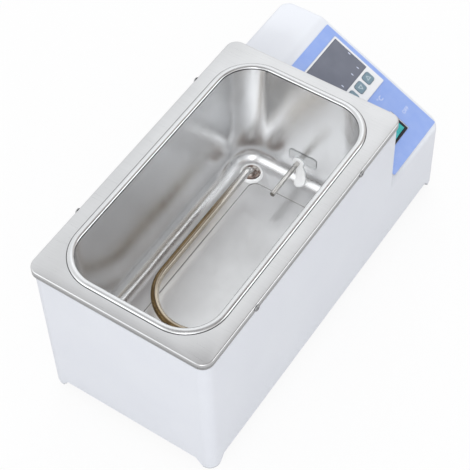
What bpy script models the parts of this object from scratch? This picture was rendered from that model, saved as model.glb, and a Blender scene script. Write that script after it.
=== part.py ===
"""Laboratory water bath: a deep drawn steel tank in a powder coated casing with a sloped control end.

Metres, +Z up. X runs along the tank, with the control end at +X, and the user stands at -Y.
The origin lies under the middle of the whole bath, on the table.
"""
import math

import bmesh
import bpy
from mathutils import Matrix, Vector

# Clearance between neighbouring pieces, how far a cut runs past its work, the distance at which
# points merge, and how much of a slot's width its round ends take
seat_gap = 0.0003
overrun = 0.002
merge_distance = 0.00001
slot_end_share = 0.45

# Tank flange and bead
flange_length = 0.342
flange_width = 0.200
flange_height = 0.197
flange_corner_radius = 0.012
flange_edge_radius = 0.0016
skirt_depth = 0.0076
tank_sheet = 0.0010
bead_end_margin = 0.0130
bead_side_margin = 0.0155
bead_width = 0.0070
bead_height = 0.0020
bead_corner_radius = 0.044

# Tank well
floor_top = 0.059
wall_taper = 0.0030
bottom_corner_radius = 0.028
floor_fillet = 0.0120
panel_margin = 0.0190
panel_depth = 0.0010
panel_corner_radius = 0.010
tank_corner_steps = 8
bead_steps = 8

# Casing
casing_sheet = 0.0015
casing_inset = 0.0020
casing_corner_radius = 0.012
step_corner_radius = 0.0085
casing_corner_steps = 7
casing_bottom = 0.0120
control_length = 0.098
deck_drop = 0.024
deck_bend_y = 0.051
slope_fall = 0.0795
deck_bend_radius = 0.009
deck_edge_radius = 0.0030
edge_steps = 3

# Corner legs and their pads
leg_width = 0.0200
leg_foot_width = 0.0130
pad_height = 0.0030
pad_edge_inset = 0.0006
pad_block_width = 0.0130

# Base plate, its lips and the bulkhead
lip_height = 0.0150
lip_width = 0.0100
lip_sheet = 0.0012
base_sheet = 0.0012
base_slot_count = 7
base_slot_width = 0.0035
base_slot_length = 0.045
base_slot_pitch = 0.011
base_screw_shares = (-0.62, 0.0, 0.62)
bulkhead_sheet = 0.0012
bulkhead_setback = 0.0020
grommet_radius = 0.0075
grommet_lip = 0.0016
grommet_bore = 0.0045
grommet_height = 0.034
grommet_side_margin = 0.036

# Screws
skirt_screw_spacing = 0.182
skirt_screw_back_shift = 0.014
screw_head_radius = 0.0036
screw_head_height = 0.0014
screw_shank_radius = 0.0019
screw_shank_length = 0.0060
screw_hole_play = 0.0004
screw_sides = 16
screw_crown_share = 0.55

# Heating element
element_radius = 0.00425
element_side_margin = 0.0290
element_height = 0.0135
element_gland_margin = 0.0280
element_turn_margin = 0.0645
element_drop_radius = 0.0130
element_turn_steps = 18
element_drop_steps = 6
terminal_radius = 0.0017
terminal_length = 0.0080
terminal_clearance = 0.0090

# Element glands and their seals
gland_cup_radius = 0.0100
gland_cup_height = 0.0038
gland_rim_width = 0.0009
gland_dish_depth = 0.0022
dish_middle_share = 0.30
gland_stem_radius = 0.0068
gland_stem_length = 0.0150
seal_outer_radius = 0.0124
seal_top_radius = 0.0114
seal_height = 0.0045
gland_nut_height = 0.0055
gland_nut_radius = 0.0098
turned_steps = 28

# Temperature probe
probe_radius = 0.0030
probe_tip_round = 0.0010
probe_height = 0.0235
probe_side_y = 0.0050
probe_reach = 0.0525
probe_tail = 0.0120
probe_seal_radius = 0.0085
probe_seal_height = 0.0016
probe_nut_radius = 0.0070
probe_nut_height = 0.0045

# Insulation and overheat cut-out
jacket_top_drop = 0.0120
jacket_bottom_rise = 0.0130
cutout_radius = 0.0085
cutout_height = 0.0070
cutout_boss_radius = 0.0045
cutout_boss_height = 0.0060
cutout_x = 0.060

# Blue panel on the slope
overlay_sheet = 0.0004
overlay_left_margin = 0.0080
overlay_right_margin = 0.0046
overlay_front_margin = 0.0052
overlay_back_reach = 0.1595
overlay_corner_radius = 0.0012

# Temperature controller
bezel_length = 0.0700
bezel_depth = 0.0695
bezel_thickness = 0.0013
bezel_right_margin = 0.0100
bezel_front_reach = 0.0758
bezel_corner_radius = 0.0010
bezel_rim = 0.0020
window_depth = 0.0444
window_thickness = 0.0008
key_count = 4
key_size = 0.0115
key_corner_radius = 0.0024
key_height = 0.0014
key_pitch = 0.0154
key_front_gap = 0.0088
key_travel = 0.0006
key_play = 0.0004
module_side_inset = 0.0020
module_depth = 0.0300

# Rocker switch
switch_length = 0.0310
switch_width = 0.0255
switch_rim_height = 0.0012
switch_end_rim = 0.0038
switch_side_rim = 0.0028
switch_body_inset = 0.0020
switch_body_depth = 0.0240
switch_well_depth = 0.0125
switch_front_reach = 0.0242
switch_centre_from_step = 0.0496
rocker_play = 0.0004
rocker_pivot_drop = 0.0012
rocker_rise = 0.0030
rocker_skirt = 0.0050
rocker_tilt_degrees = 11.0
rocker_valley_share = 0.30
blade_width = 0.0063
blade_thickness = 0.0008
blade_length = 0.0080
blade_pitch_along = 0.0124
blade_pitch_across = 0.0128

# Mains inlet on the back wall
inlet_x_share = 0.50
inlet_height = 0.060
inlet_flange_length = 0.0314
inlet_flange_height = 0.0250
inlet_flange_thickness = 0.0022
inlet_flange_radius = 0.0030
inlet_body_length = 0.0272
inlet_body_height = 0.0196
inlet_body_depth = 0.0220
inlet_well_length = 0.0244
inlet_well_height = 0.0168
inlet_well_depth = 0.0165
inlet_well_chamfer = 0.0050
pin_width = 0.0020
pin_height = 0.0040
pin_length = 0.0140
pin_pitch = 0.0070
pin_rise = 0.0020

# Vents in the back wall of the control end
vent_count = 6
vent_width = 0.0030
vent_length = 0.030
vent_pitch = 0.0085
vent_drop = 0.048

# Electrics inside the control end
relay_length = 0.0450
relay_width = 0.0580
relay_height = 0.0240
relay_sink_height = 0.0120
relay_back_margin = 0.039
terminal_block_length = 0.0520
terminal_block_width = 0.0200
terminal_block_height = 0.0160
terminal_block_front_margin = 0.033
terminal_block_ways = 5
stud_radius = 0.0025
stud_length = 0.0140
stud_nut_radius = 0.0046
stud_nut_height = 0.0035
stud_back_margin = 0.020

# Places that follow from the sizes
tank_x = -(control_length - casing_inset) / 2
casing_left = tank_x - flange_length / 2 + casing_inset
step_x = tank_x + flange_length / 2 - casing_inset
casing_right = step_x + control_length
casing_half_width = flange_width / 2 - casing_inset
casing_top = flange_height - tank_sheet - seat_gap
deck_height = flange_height - deck_drop
slope_front_height = deck_height - slope_fall
vent_height = deck_height - vent_drop
well_half_length = flange_length / 2 - bead_end_margin - bead_width
well_half_width = flange_width / 2 - bead_side_margin - bead_width
well_corner_radius = bead_corner_radius - bead_width
tank_depth = flange_height - floor_top
floor_under = floor_top - tank_sheet
slope_run = deck_bend_y + casing_half_width
slope_angle = math.atan2(slope_fall, slope_run)
control_mid_x = (step_x + casing_right) / 2
lip_top = lip_height + lip_sheet
base_top = lip_height - seat_gap
element_foot = base_top + terminal_clearance + terminal_length + seat_gap
wall_slope = wall_taper / (tank_depth - floor_fillet)
wall_at_probe = well_half_length - wall_slope * (tank_depth - probe_height)
bulkhead_right = step_x - casing_sheet - bulkhead_setback
bulkhead_left = bulkhead_right - bulkhead_sheet
inside_left = casing_left + casing_sheet + seat_gap
inside_right = casing_right - casing_sheet - seat_gap
inside_half_width = casing_half_width - casing_sheet - seat_gap
inside_corner_radius = casing_corner_radius - casing_sheet - seat_gap
element_pitch = 2 * (well_half_width - element_side_margin)
element_turn_x = tank_x - well_half_length + element_turn_margin + element_pitch / 2
gland_x = tank_x + well_half_length - element_gland_margin
grommet_side_y = casing_half_width - grommet_side_margin
relay_y = casing_half_width - relay_back_margin - relay_width / 2
terminal_block_y = terminal_block_front_margin + terminal_block_width / 2 - casing_half_width
stud_y = casing_half_width - stud_back_margin
bezel_right = control_length - bezel_right_margin
bezel_left = bezel_right - bezel_length
bezel_back = bezel_front_reach + bezel_depth
window_back = bezel_back - bezel_rim
window_front = window_back - window_depth
switch_back_reach = switch_front_reach + switch_width
switch_left = switch_centre_from_step - switch_length / 2
switch_right = switch_centre_from_step + switch_length / 2
switch_top = seat_gap + switch_rim_height

# Materials: colour, roughness, metallic
finishes = {
    "powder_coat": ((0.80, 0.82, 0.86), 0.45, 0.0),
    "brushed_steel": ((0.62, 0.61, 0.60), 0.28, 1.0),
    "heated_steel": ((0.55, 0.44, 0.28), 0.22, 1.0),
    "bronze_steel": ((0.36, 0.25, 0.18), 0.30, 1.0),
    "zinc_sheet": ((0.50, 0.52, 0.54), 0.45, 1.0),
    "silicone": ((0.88, 0.87, 0.85), 0.55, 0.0),
    "pad_rubber": ((0.72, 0.73, 0.75), 0.80, 0.0),
    "blanket": ((0.75, 0.72, 0.62), 0.95, 0.0),
    "blue_film": ((0.33, 0.45, 0.83), 0.40, 0.0),
    "white_plastic": ((0.86, 0.87, 0.88), 0.40, 0.0),
    "smoked_window": ((0.12, 0.13, 0.15), 0.25, 0.0),
    "key_plastic": ((0.36, 0.45, 0.50), 0.45, 0.0),
    "black_plastic": ((0.03, 0.03, 0.05), 0.45, 0.0),
    "green_lens": ((0.05, 0.60, 0.48), 0.25, 0.0),
    "grey_plastic": ((0.45, 0.46, 0.48), 0.50, 0.0),
    "brass": ((0.65, 0.48, 0.20), 0.35, 1.0),
}


def material(name):
    """Return the named finish, made once."""
    found = bpy.data.materials.get(name)
    if found:
        return found
    colour, roughness, metallic = finishes[name]
    made = bpy.data.materials.new(name)
    made.use_nodes = True
    shader = made.node_tree.nodes["Principled BSDF"]
    shader.inputs["Base Color"].default_value = (*colour, 1.0)
    shader.inputs["Roughness"].default_value = roughness
    shader.inputs["Metallic"].default_value = metallic
    return made


def add_object(name, mesh, finish, parent=None):
    """Link a mesh as a part, or as a hidden cutter when it has no finish."""
    made = bpy.data.objects.new(name, mesh)
    if finish:
        mesh.materials.clear()
        mesh.materials.append(material(finish))
        parts.objects.link(made)
    else:
        made.hide_render = True
        made.display_type = "WIRE"
        cutters.objects.link(made)
    made.parent = parent
    return made


def to_mesh(name, bm):
    """Finish a bmesh with outward faces."""
    bmesh.ops.recalc_face_normals(bm, faces=bm.faces)
    mesh = bpy.data.meshes.new(name)
    bm.to_mesh(mesh)
    bm.free()
    return mesh


def shade(made, degrees=32.0):
    """Shade a part smooth and keep its real corners sharp."""
    made.data.shade_smooth()
    made.data.set_sharp_from_angle(angle=math.radians(degrees))


def box_bmesh(low, high, radius=0.0, steps=4, axis=2):
    """A box between two corners, with the edges along one axis rounded."""
    low, high = Vector(low), Vector(high)
    bm = bmesh.new()
    place = Matrix.Translation((low + high) / 2) @ Matrix.Diagonal((*(high - low), 1.0))
    bmesh.ops.create_cube(bm, size=1.0, matrix=place)
    if radius > 0:
        along = [e for e in bm.edges if runs_along(e, axis)]
        bmesh.ops.bevel(bm, geom=along, offset=radius, segments=steps, affect="EDGES", profile=0.5)
    return bm


def runs_along(edge, axis):
    """Say whether an edge runs along one axis."""
    way = edge.verts[1].co - edge.verts[0].co
    return abs(way[axis]) > 0.999 * way.length


def box(name, low, high, finish=None, parent=None, radius=0.0, steps=4, axis=2):
    """A box part or cutter."""
    return add_object(name, to_mesh(name, box_bmesh(low, high, radius, steps, axis)), finish, parent)


def prism(name, outline, low, high, axis, finish=None, parent=None):
    """A flat outline stood along X, Y or Z between two places."""
    bm = bmesh.new()
    order = {0: lambda a, b: (low, a, b), 1: lambda a, b: (a, low, b), 2: lambda a, b: (a, b, low)}[axis]
    face = bm.faces.new([bm.verts.new(order(a, b)) for a, b in outline])
    swept = bmesh.ops.extrude_face_region(bm, geom=[face])
    move = Vector([high - low if i == axis else 0.0 for i in range(3)])
    bmesh.ops.translate(bm, vec=move, verts=[v for v in swept["geom"] if isinstance(v, bmesh.types.BMVert)])
    return add_object(name, to_mesh(name, bm), finish, parent)


def turned(name, profile, finish=None, parent=None, steps=None):
    """A profile of radius and height, listed down the outer side, turned about Z."""
    mesh = bpy.data.meshes.new(name)
    points = [(radius, 0.0, height) for radius, height in profile]
    closed = min(radius for radius, _ in profile) > 0
    pairs = [(i, i + 1) for i in range(len(points) - 1)]
    if closed:
        pairs.append((len(points) - 1, 0))
    mesh.from_pydata(points, pairs, [])
    made = add_object(name, mesh, finish, parent)
    screw = made.modifiers.new("turn", "SCREW")
    screw.steps = screw.render_steps = steps or turned_steps
    screw.use_merge_vertices = True
    screw.merge_threshold = merge_distance
    screw.use_smooth_shade = True
    return made


def cylinder(name, radius, length, finish=None, parent=None, sides=None):
    """A solid cylinder up Z from its base."""
    bm = bmesh.new()
    bmesh.ops.create_cone(bm, cap_ends=True, segments=sides or turned_steps, radius1=radius, radius2=radius,
                          depth=length, matrix=Matrix.Translation((0.0, 0.0, length / 2)))
    made = add_object(name, to_mesh(name, bm), finish, parent)
    shade(made)
    return made


def boolean(made, other, operation="DIFFERENCE"):
    """Cut or join one solid with another."""
    step = made.modifiers.new(other.name, "BOOLEAN")
    step.operation = operation
    step.object = other
    step.solver = "EXACT"


def rounded_ring(half_length, half_width, radius, height, middle_x, steps):
    """Points of a rectangle with round corners, counter clockwise from +X."""
    points = []
    corners = ((1, 1, 0.0), (-1, 1, 90.0), (-1, -1, 180.0), (1, -1, 270.0))
    for side_x, side_y, start in corners:
        centre_x = middle_x + side_x * (half_length - radius)
        centre_y = side_y * (half_width - radius)
        for step in range(steps + 1):
            angle = math.radians(start + 90.0 * step / steps)
            points.append((centre_x + radius * math.cos(angle), centre_y + radius * math.sin(angle), height))
    return points


def loft(bm, rings):
    """Join each ring of points to the next, and return the edges of the first and the last ring."""
    rows = [[bm.verts.new(point) for point in ring] for ring in rings]
    for one, two in zip(rows, rows[1:]):
        for corners in zip(one, one[1:] + one[:1], two[1:] + two[:1], two):
            bm.faces.new(corners)
    return [[bm.edges.get(pair) for pair in zip(row, row[1:] + row[:1])] for row in (rows[0], rows[-1])]


def tank_rings():
    """Rings of the tank's top surface, from the skirt's lower edge to the floor panel."""
    half_length = flange_length / 2
    half_width = flange_width / 2

    def ring(inset, height, radius):
        return rounded_ring(half_length - inset, half_width - inset, radius, height, tank_x, tank_corner_steps)

    def bead(inset, rise):
        length = half_length - bead_end_margin - inset
        width = half_width - bead_side_margin - inset
        return rounded_ring(length, width, bead_corner_radius - inset, flange_height + rise, tank_x, tank_corner_steps)

    rings = [ring(0.0, flange_height - skirt_depth, flange_corner_radius)]
    for angle in (0.0, 30.0, 60.0, 90.0):
        turn = math.radians(angle)
        inset = flange_edge_radius * (1 - math.cos(turn))
        drop = flange_edge_radius * (1 - math.sin(turn))
        rings.append(ring(inset, flange_height - drop, flange_corner_radius - inset))
    # The raised bead is half an ellipse across, and its inner side runs down into the wall
    for step in range(bead_steps + 1):
        turn = math.pi * step / bead_steps
        rings.append(bead(bead_width * (1 - math.cos(turn)) / 2, bead_height * math.sin(turn)))
    bottom_length = well_half_length - wall_taper
    bottom_width = well_half_width - wall_taper
    for angle in (0.0, 22.5, 45.0, 67.5, 90.0):
        turn = math.radians(angle)
        inset = floor_fillet * (1 - math.cos(turn))
        drop = floor_fillet * (1 - math.sin(turn))
        rings.append(rounded_ring(bottom_length - inset, bottom_width - inset, bottom_corner_radius - inset,
                                  floor_top + drop, tank_x, tank_corner_steps))
    panel = floor_fillet + panel_margin
    for inset, drop in ((panel, 0.0), (panel + panel_depth, panel_depth)):
        rings.append(rounded_ring(bottom_length - inset, bottom_width - inset, panel_corner_radius - (inset - panel),
                                  floor_top - drop, tank_x, tank_corner_steps))
    return rings


def tank():
    """The one-piece drawn tank: skirt, flange, bead, tapered walls, filleted floor and sunk panel."""
    bm = bmesh.new()
    loops = loft(bm, tank_rings())
    bmesh.ops.contextual_create(bm, geom=loops[-1])
    made = add_object("tank", to_mesh("tank", bm), "brushed_steel")
    if made.data.polygons[-1].normal.z < 0:
        made.data.flip_normals()
    shell = made.modifiers.new("sheet", "SOLIDIFY")
    shell.thickness = tank_sheet
    shell.offset = -1.0
    shell.use_even_offset = True
    for side in (-1, 1):
        hole = cylinder("gland_hole_cutter", gland_stem_radius + seat_gap, 2 * overrun + tank_sheet + panel_depth)
        hole.location = (gland_x, side * element_pitch / 2, floor_under - panel_depth - overrun)
        boolean(made, hole)
    hole = cylinder("probe_hole_cutter", probe_radius + seat_gap, 2 * wall_taper + 2 * overrun + tank_sheet)
    hole.rotation_euler = (0.0, math.pi / 2, 0.0)
    hole.location = (tank_x + wall_at_probe - wall_taper - overrun, probe_side_y, floor_top + probe_height)
    boolean(made, hole)
    for hole in skirt_screw_holes("skirt_hole_cutter"):
        boolean(made, hole)
    shade(made)
    return made


def skirt_screw_places():
    """Where the four screws of the skirt stand, each with its outward side."""
    height = flange_height - skirt_depth / 2
    places = []
    for end in (-1, 1):
        for side in (-1, 1):
            shift = skirt_screw_back_shift if end == side == 1 else 0
            places.append((tank_x + end * skirt_screw_spacing / 2 + shift, side * flange_width / 2, height, side))
    return places


def skirt_screw_holes(name):
    """Cutters for the screw holes through the skirt and the casing."""
    length = casing_inset + casing_sheet + 2 * overrun
    holes = []
    for x, y, z, side in skirt_screw_places():
        hole = cylinder(name, screw_shank_radius + screw_hole_play, length, sides=screw_sides)
        hole.rotation_euler = (side * math.pi / 2, 0.0, 0.0)
        hole.location = (x, y + side * overrun, z)
        holes.append(hole)
    return holes


def casing_body(name, inset):
    """The casing's outside, or its cavity one sheet in: a tall tank end and a sloped control end."""
    outside = inset == 0
    half_width = casing_half_width - inset
    top = casing_top if outside else casing_top + overrun
    bottom = pad_height + seat_gap if outside else -overrun
    tank_end = box_bmesh((casing_left + inset, -half_width, bottom), (step_x - inset, half_width, top))
    for at_step, radius in ((False, casing_corner_radius - inset), (True, step_corner_radius - inset)):
        upright = [e for e in tank_end.edges if runs_along(e, 2) and (e.verts[0].co.x > tank_x) == at_step]
        bmesh.ops.bevel(tank_end, geom=upright, offset=radius, segments=casing_corner_steps, affect="EDGES",
                        profile=0.5)
    made = add_object(name, to_mesh(name, tank_end), "powder_coat" if outside else None)
    control = bpy.data.objects.new(name + "_control_end", control_mesh(inset, bottom))
    cutters.objects.link(control)
    control.hide_render = True
    control.display_type = "WIRE"
    boolean(made, control, "UNION")
    return made


def control_outline(inset, bottom):
    """The control end seen along X, or the same drawn in by an inset."""
    half_width = casing_half_width - inset
    deck = deck_height - inset
    tangent = math.tan(slope_angle)
    front = slope_front_height + inset * tangent - inset / math.cos(slope_angle)
    bend_y = -half_width + (deck - front) / tangent
    return [(-half_width, bottom), (half_width, bottom), (half_width, deck), (bend_y, deck), (-half_width, front)]


def control_mesh(inset, bottom):
    """The control end's outline swept along X, with its corners and upper edges rounded."""
    low = step_x - casing_corner_radius
    high = casing_right - inset
    bm = bmesh.new()
    face = bm.faces.new([bm.verts.new((low, y, z)) for y, z in control_outline(inset, bottom)])
    swept = bmesh.ops.extrude_face_region(bm, geom=[face])
    moved = [v for v in swept["geom"] if isinstance(v, bmesh.types.BMVert)]
    bmesh.ops.translate(bm, vec=(high - low, 0.0, 0.0), verts=moved)
    bmesh.ops.recalc_face_normals(bm, faces=bm.faces)
    corners = [e for e in bm.edges if runs_along(e, 2) and min(v.co.x for v in e.verts) > control_mid_x]
    bmesh.ops.bevel(bm, geom=corners, offset=casing_corner_radius - inset, segments=casing_corner_steps,
                    affect="EDGES", profile=0.5)
    if inset == 0:
        bend = [e for e in bm.edges if runs_along(e, 0) and all(f.normal.z > math.sin(slope_angle)
                                                              for f in e.link_faces)]
        bmesh.ops.bevel(bm, geom=bend, offset=deck_bend_radius * math.tan(slope_angle / 2), segments=edge_steps,
                        affect="EDGES", profile=0.5)
        bm.normal_update()
        upper = [e for e in bm.edges if sum(f.normal.z > math.sin(slope_angle) for f in e.link_faces) == 1
                 and max(v.co.x for v in e.verts) > low + overrun]
        bmesh.ops.bevel(bm, geom=upper, offset=deck_edge_radius, segments=edge_steps, affect="EDGES", profile=0.5)
    return to_mesh("control_end", bm)


def casing():
    """The coated casing: outside less cavity, with legs, lips and every cut-out."""
    made = casing_body("casing", 0.0)
    boolean(made, casing_body("casing_cavity", casing_sheet))
    for hole in skirt_screw_holes("casing_hole_cutter"):
        boolean(made, hole)
    for axis, low, high, reach in ((1, casing_left, casing_right, casing_half_width),
                                   (0, -casing_half_width, casing_half_width, casing_right)):
        boolean(made, leg_cutter(axis, low, high, reach))
    boolean(made, lip_frame(), "UNION")
    for hole in base_screw_holes("lip_hole_cutter"):
        boolean(made, hole)
    inset = module_side_inset - seat_gap
    boolean(made, box("controller_cutter", (bezel_left + inset, bezel_front_reach + inset, -casing_sheet - overrun),
                      (bezel_right - inset, bezel_back - inset, overrun), parent=slope))
    inset = switch_body_inset - seat_gap
    boolean(made, box("switch_cutter", (switch_left + inset, switch_front_reach + inset, -casing_sheet - overrun),
                      (switch_right - inset, switch_back_reach - inset, overrun), parent=slope))
    half_length = inlet_body_length / 2 + seat_gap
    half_height = inlet_body_height / 2 + seat_gap
    boolean(made, box("inlet_cutter", (-half_length, -half_height, -casing_sheet - overrun),
                      (half_length, half_height, overrun), parent=inlet_frame))
    for index in range(vent_count):
        middle = (index - (vent_count - 1) / 2) * vent_pitch
        boolean(made, box("vent_cutter", (middle - vent_width / 2, vent_height - inlet_height - vent_length / 2,
                                          -casing_sheet - overrun),
                          (middle + vent_width / 2, vent_height - inlet_height + vent_length / 2, overrun),
                          parent=inlet_frame, radius=vent_width * slot_end_share))
    shade(made)
    return made


def leg_cutter(axis, low, high, reach):
    """Clears the space between two legs, right through both walls."""
    name = "leg_cutter_y" if axis else "leg_cutter_x"
    outline = [(low + leg_width, casing_bottom), (low + leg_foot_width, pad_height), (low + leg_foot_width, -overrun),
               (high - leg_foot_width, -overrun), (high - leg_foot_width, pad_height), (high - leg_width, casing_bottom)]
    return prism(name, outline, -reach - overrun, reach + overrun, axis)


def lip_frame():
    """The lip folded in round the casing's foot, which the base plate is screwed to."""
    reach = casing_sheet / 2
    low = (casing_left + reach, -casing_half_width + reach, lip_height)
    high = (casing_right - reach, casing_half_width - reach, lip_top)
    frame = box("lip_frame", low, high, radius=casing_corner_radius - reach, steps=casing_corner_steps)
    reach = casing_sheet + lip_width
    low = (casing_left + reach, -casing_half_width + reach, lip_height - overrun)
    high = (casing_right - reach, casing_half_width - reach, lip_top + overrun)
    boolean(frame, box("lip_opening_cutter", low, high))
    return frame


def base_screw_places():
    """Where the base plate is screwed up into the lip."""
    half_length = (casing_right - casing_left) / 2
    y = casing_half_width - casing_sheet - lip_width / 2
    return [(share * half_length, side * y) for share in base_screw_shares for side in (-1, 1)]


def base_screw_holes(name):
    """Cutters for the screw holes in the base plate and the lip."""
    low = base_top - base_sheet - overrun
    holes = []
    for x, y in base_screw_places():
        hole = cylinder(name, screw_shank_radius + screw_hole_play, lip_top + overrun - low, sides=screw_sides)
        hole.location = (x, y, low)
        holes.append(hole)
    return holes


def base_plate():
    """The plate that closes the bottom, with cooling slots under the control end."""
    made = box("base_plate", (inside_left, -inside_half_width, base_top - base_sheet),
               (inside_right, inside_half_width, base_top), "zinc_sheet", radius=inside_corner_radius,
               steps=casing_corner_steps)
    for index in range(base_slot_count):
        middle = control_mid_x + (index - (base_slot_count - 1) / 2) * base_slot_pitch
        slot = box("slot_cutter", (middle - base_slot_width / 2, -base_slot_length / 2, base_top - base_sheet - overrun),
                   (middle + base_slot_width / 2, base_slot_length / 2, base_top + overrun),
                   radius=base_slot_width * slot_end_share)
        boolean(made, slot)
    for hole in base_screw_holes("base_hole_cutter"):
        boolean(made, hole)
    stud = cylinder("stud_cutter", stud_radius + seat_gap, base_sheet + 2 * overrun, sides=screw_sides)
    stud.location = (control_mid_x, stud_y, base_top - base_sheet - overrun)
    boolean(made, stud)
    shade(made)


def corner_block(name, side_x, side_y, inset, size, low, high, outer_radius, finish):
    """A block in one corner of the casing, its outer corner rounded to the casing."""
    edge_x = (casing_left + inset) if side_x < 0 else (casing_right - inset)
    edge_y = side_y * (casing_half_width - inset)
    xs = sorted((edge_x, edge_x - side_x * size))
    ys = sorted((edge_y, edge_y - side_y * size))
    bm = box_bmesh((xs[0], ys[0], low), (xs[1], ys[1], high))
    outer = [e for e in bm.edges if runs_along(e, 2) and side_x * (e.verts[0].co.x - edge_x) > -size / 2
             and side_y * (e.verts[0].co.y - edge_y) > -size / 2]
    bmesh.ops.bevel(bm, geom=outer, offset=outer_radius, segments=casing_corner_steps, affect="EDGES", profile=0.5)
    return add_object(name, to_mesh(name, bm), finish)


def foot_pads():
    """Four rubber pads, each a slab under a leg with a block up inside it."""
    number = 0
    for side_x in (-1, 1):
        for side_y in (-1, 1):
            number += 1
            slab = corner_block(f"foot_pad_{number}", side_x, side_y, pad_edge_inset, leg_foot_width - pad_edge_inset,
                                0.0, pad_height, casing_corner_radius - pad_edge_inset, "pad_rubber")
            inset = casing_sheet + seat_gap
            block = corner_block("pad_block", side_x, side_y, inset, pad_block_width, pad_height / 2,
                                 base_top - base_sheet - seat_gap, casing_corner_radius - inset, None)
            boolean(slab, block, "UNION")
            shade(slab)


def bulkhead():
    """The upright plate between the tank and the electrics, cut to the shape of the control end."""
    outline = control_outline(casing_sheet + seat_gap, lip_top + seat_gap)
    made = prism("bulkhead", outline, bulkhead_left, bulkhead_right, 0, "zinc_sheet")
    for side in (-1, 1):
        hole = cylinder("grommet_hole_cutter", grommet_radius - grommet_lip + seat_gap, bulkhead_sheet + 2 * overrun)
        hole.rotation_euler = (0.0, math.pi / 2, 0.0)
        hole.location = (bulkhead_left - overrun, side * grommet_side_y, grommet_height)
        boolean(made, hole)


def cable_grommets():
    """Rubber grommets that line the bulkhead's two cable holes."""
    neck = grommet_radius - grommet_lip
    groove = bulkhead_sheet / 2 + seat_gap
    face = groove + grommet_lip
    profile = [(grommet_radius, face), (grommet_radius, groove), (neck, groove), (neck, -groove),
               (grommet_radius, -groove), (grommet_radius, -face), (grommet_bore, -face), (grommet_bore, face)]
    for number, side in enumerate((-1, 1), 1):
        made = turned(f"cable_grommet_{number}", profile, "black_plastic", steps=screw_sides)
        made.rotation_euler = (0.0, math.pi / 2, 0.0)
        made.location = ((bulkhead_left + bulkhead_right) / 2, side * grommet_side_y, grommet_height)


def screw(name, location, rotation):
    """A pan head screw with its head outward along its own Z."""
    head_top = seat_gap + screw_head_height
    tip = seat_gap - screw_shank_length
    profile = [(0.0, head_top), (screw_head_radius * screw_crown_share, head_top),
               (screw_head_radius, head_top - screw_head_height / 2), (screw_head_radius, seat_gap),
               (screw_shank_radius, seat_gap), (screw_shank_radius, tip), (0.0, tip)]
    made = turned(name, profile, "zinc_sheet", steps=screw_sides)
    made.location = location
    made.rotation_euler = rotation


def all_screws():
    """The screws of the skirt and of the base plate."""
    for number, (x, y, z, side) in enumerate(skirt_screw_places(), 1):
        screw(f"skirt_screw_{number}", (x, y, z), (-side * math.pi / 2, 0.0, 0.0))
    for number, (x, y) in enumerate(base_screw_places(), 1):
        screw(f"base_screw_{number}", (x, y, base_top - base_sheet), (math.pi, 0.0, 0.0))


def heating_element():
    """A sheathed tube bent to a U above the floor, both ends turned down through the glands."""
    height = floor_top + element_height
    half = element_pitch / 2
    points = [(gland_x, -half, element_foot)]
    for step in range(element_drop_steps + 1):
        turn = math.pi / 2 * step / element_drop_steps
        points.append((gland_x - element_drop_radius * (1 - math.cos(turn)), -half,
                       height - element_drop_radius * (1 - math.sin(turn))))
    for step in range(element_turn_steps + 1):
        turn = math.pi * step / element_turn_steps
        points.append((element_turn_x - half * math.sin(turn), -half * math.cos(turn), height))
    for step in range(element_drop_steps, -1, -1):
        turn = math.pi / 2 * step / element_drop_steps
        points.append((gland_x - element_drop_radius * (1 - math.cos(turn)), half,
                       height - element_drop_radius * (1 - math.sin(turn))))
    points.append((gland_x, half, element_foot))
    curve = bpy.data.curves.new("heating_element", "CURVE")
    curve.dimensions = "3D"
    curve.bevel_depth = element_radius
    curve.bevel_resolution = 4
    curve.use_fill_caps = True
    spline = curve.splines.new("POLY")
    spline.points.add(len(points) - 1)
    for point, place in zip(spline.points, points):
        point.co = (*place, 1.0)
    add_object("heating_element", curve, "heated_steel")


def element_glands():
    """Each end of the element has a dished gland in a silicone seal, a nut below and a terminal."""
    below = -tank_sheet - gland_stem_length
    bore = element_radius + seat_gap
    lip = gland_cup_radius - gland_rim_width
    dish = gland_cup_height - gland_dish_depth
    cup = [(gland_cup_radius, gland_cup_height), (gland_cup_radius, seat_gap), (gland_stem_radius, seat_gap),
           (gland_stem_radius, below), (bore, below), (bore, dish), ((bore + lip) / 2, dish + gland_dish_depth * dish_middle_share),
           (lip, gland_cup_height)]
    inner = gland_cup_radius + seat_gap
    ring = [(seal_top_radius - gland_rim_width / 2, seal_height), (seal_top_radius, seal_height - gland_rim_width / 2),
            (seal_outer_radius, seat_gap), (inner, seat_gap), (inner, seal_height)]
    for number, side in enumerate((-1, 1), 1):
        place = (gland_x, side * element_pitch / 2, floor_top)
        turned(f"element_gland_{number}", cup, "bronze_steel").location = place
        turned(f"gland_seal_{number}", ring, "silicone").location = place
        hex_nut(f"gland_nut_{number}", gland_nut_radius, gland_nut_height, gland_stem_radius, "brass",
                (place[0], place[1], floor_under - seat_gap - gland_nut_height))
        stud = cylinder(f"element_terminal_{number}", terminal_radius, terminal_length, "zinc_sheet",
                        sides=screw_sides)
        stud.location = (place[0], place[1], element_foot - seat_gap - terminal_length)


def hex_nut(name, radius, height, hole_radius, finish, location, rotation=(0.0, 0.0, 0.0)):
    """A six sided nut with a plain round hole, standing up its own Z."""
    made = cylinder(name, radius, height, finish, sides=6)
    made.location = location
    made.rotation_euler = rotation
    hole = cylinder(name + "_cutter", hole_radius + seat_gap, height + 2 * overrun)
    hole.matrix_world = Matrix.Translation(location) @ made.rotation_euler.to_matrix().to_4x4() @ \
        Matrix.Translation((0.0, 0.0, -overrun))
    boolean(made, hole)
    shade(made)
    return made


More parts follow.
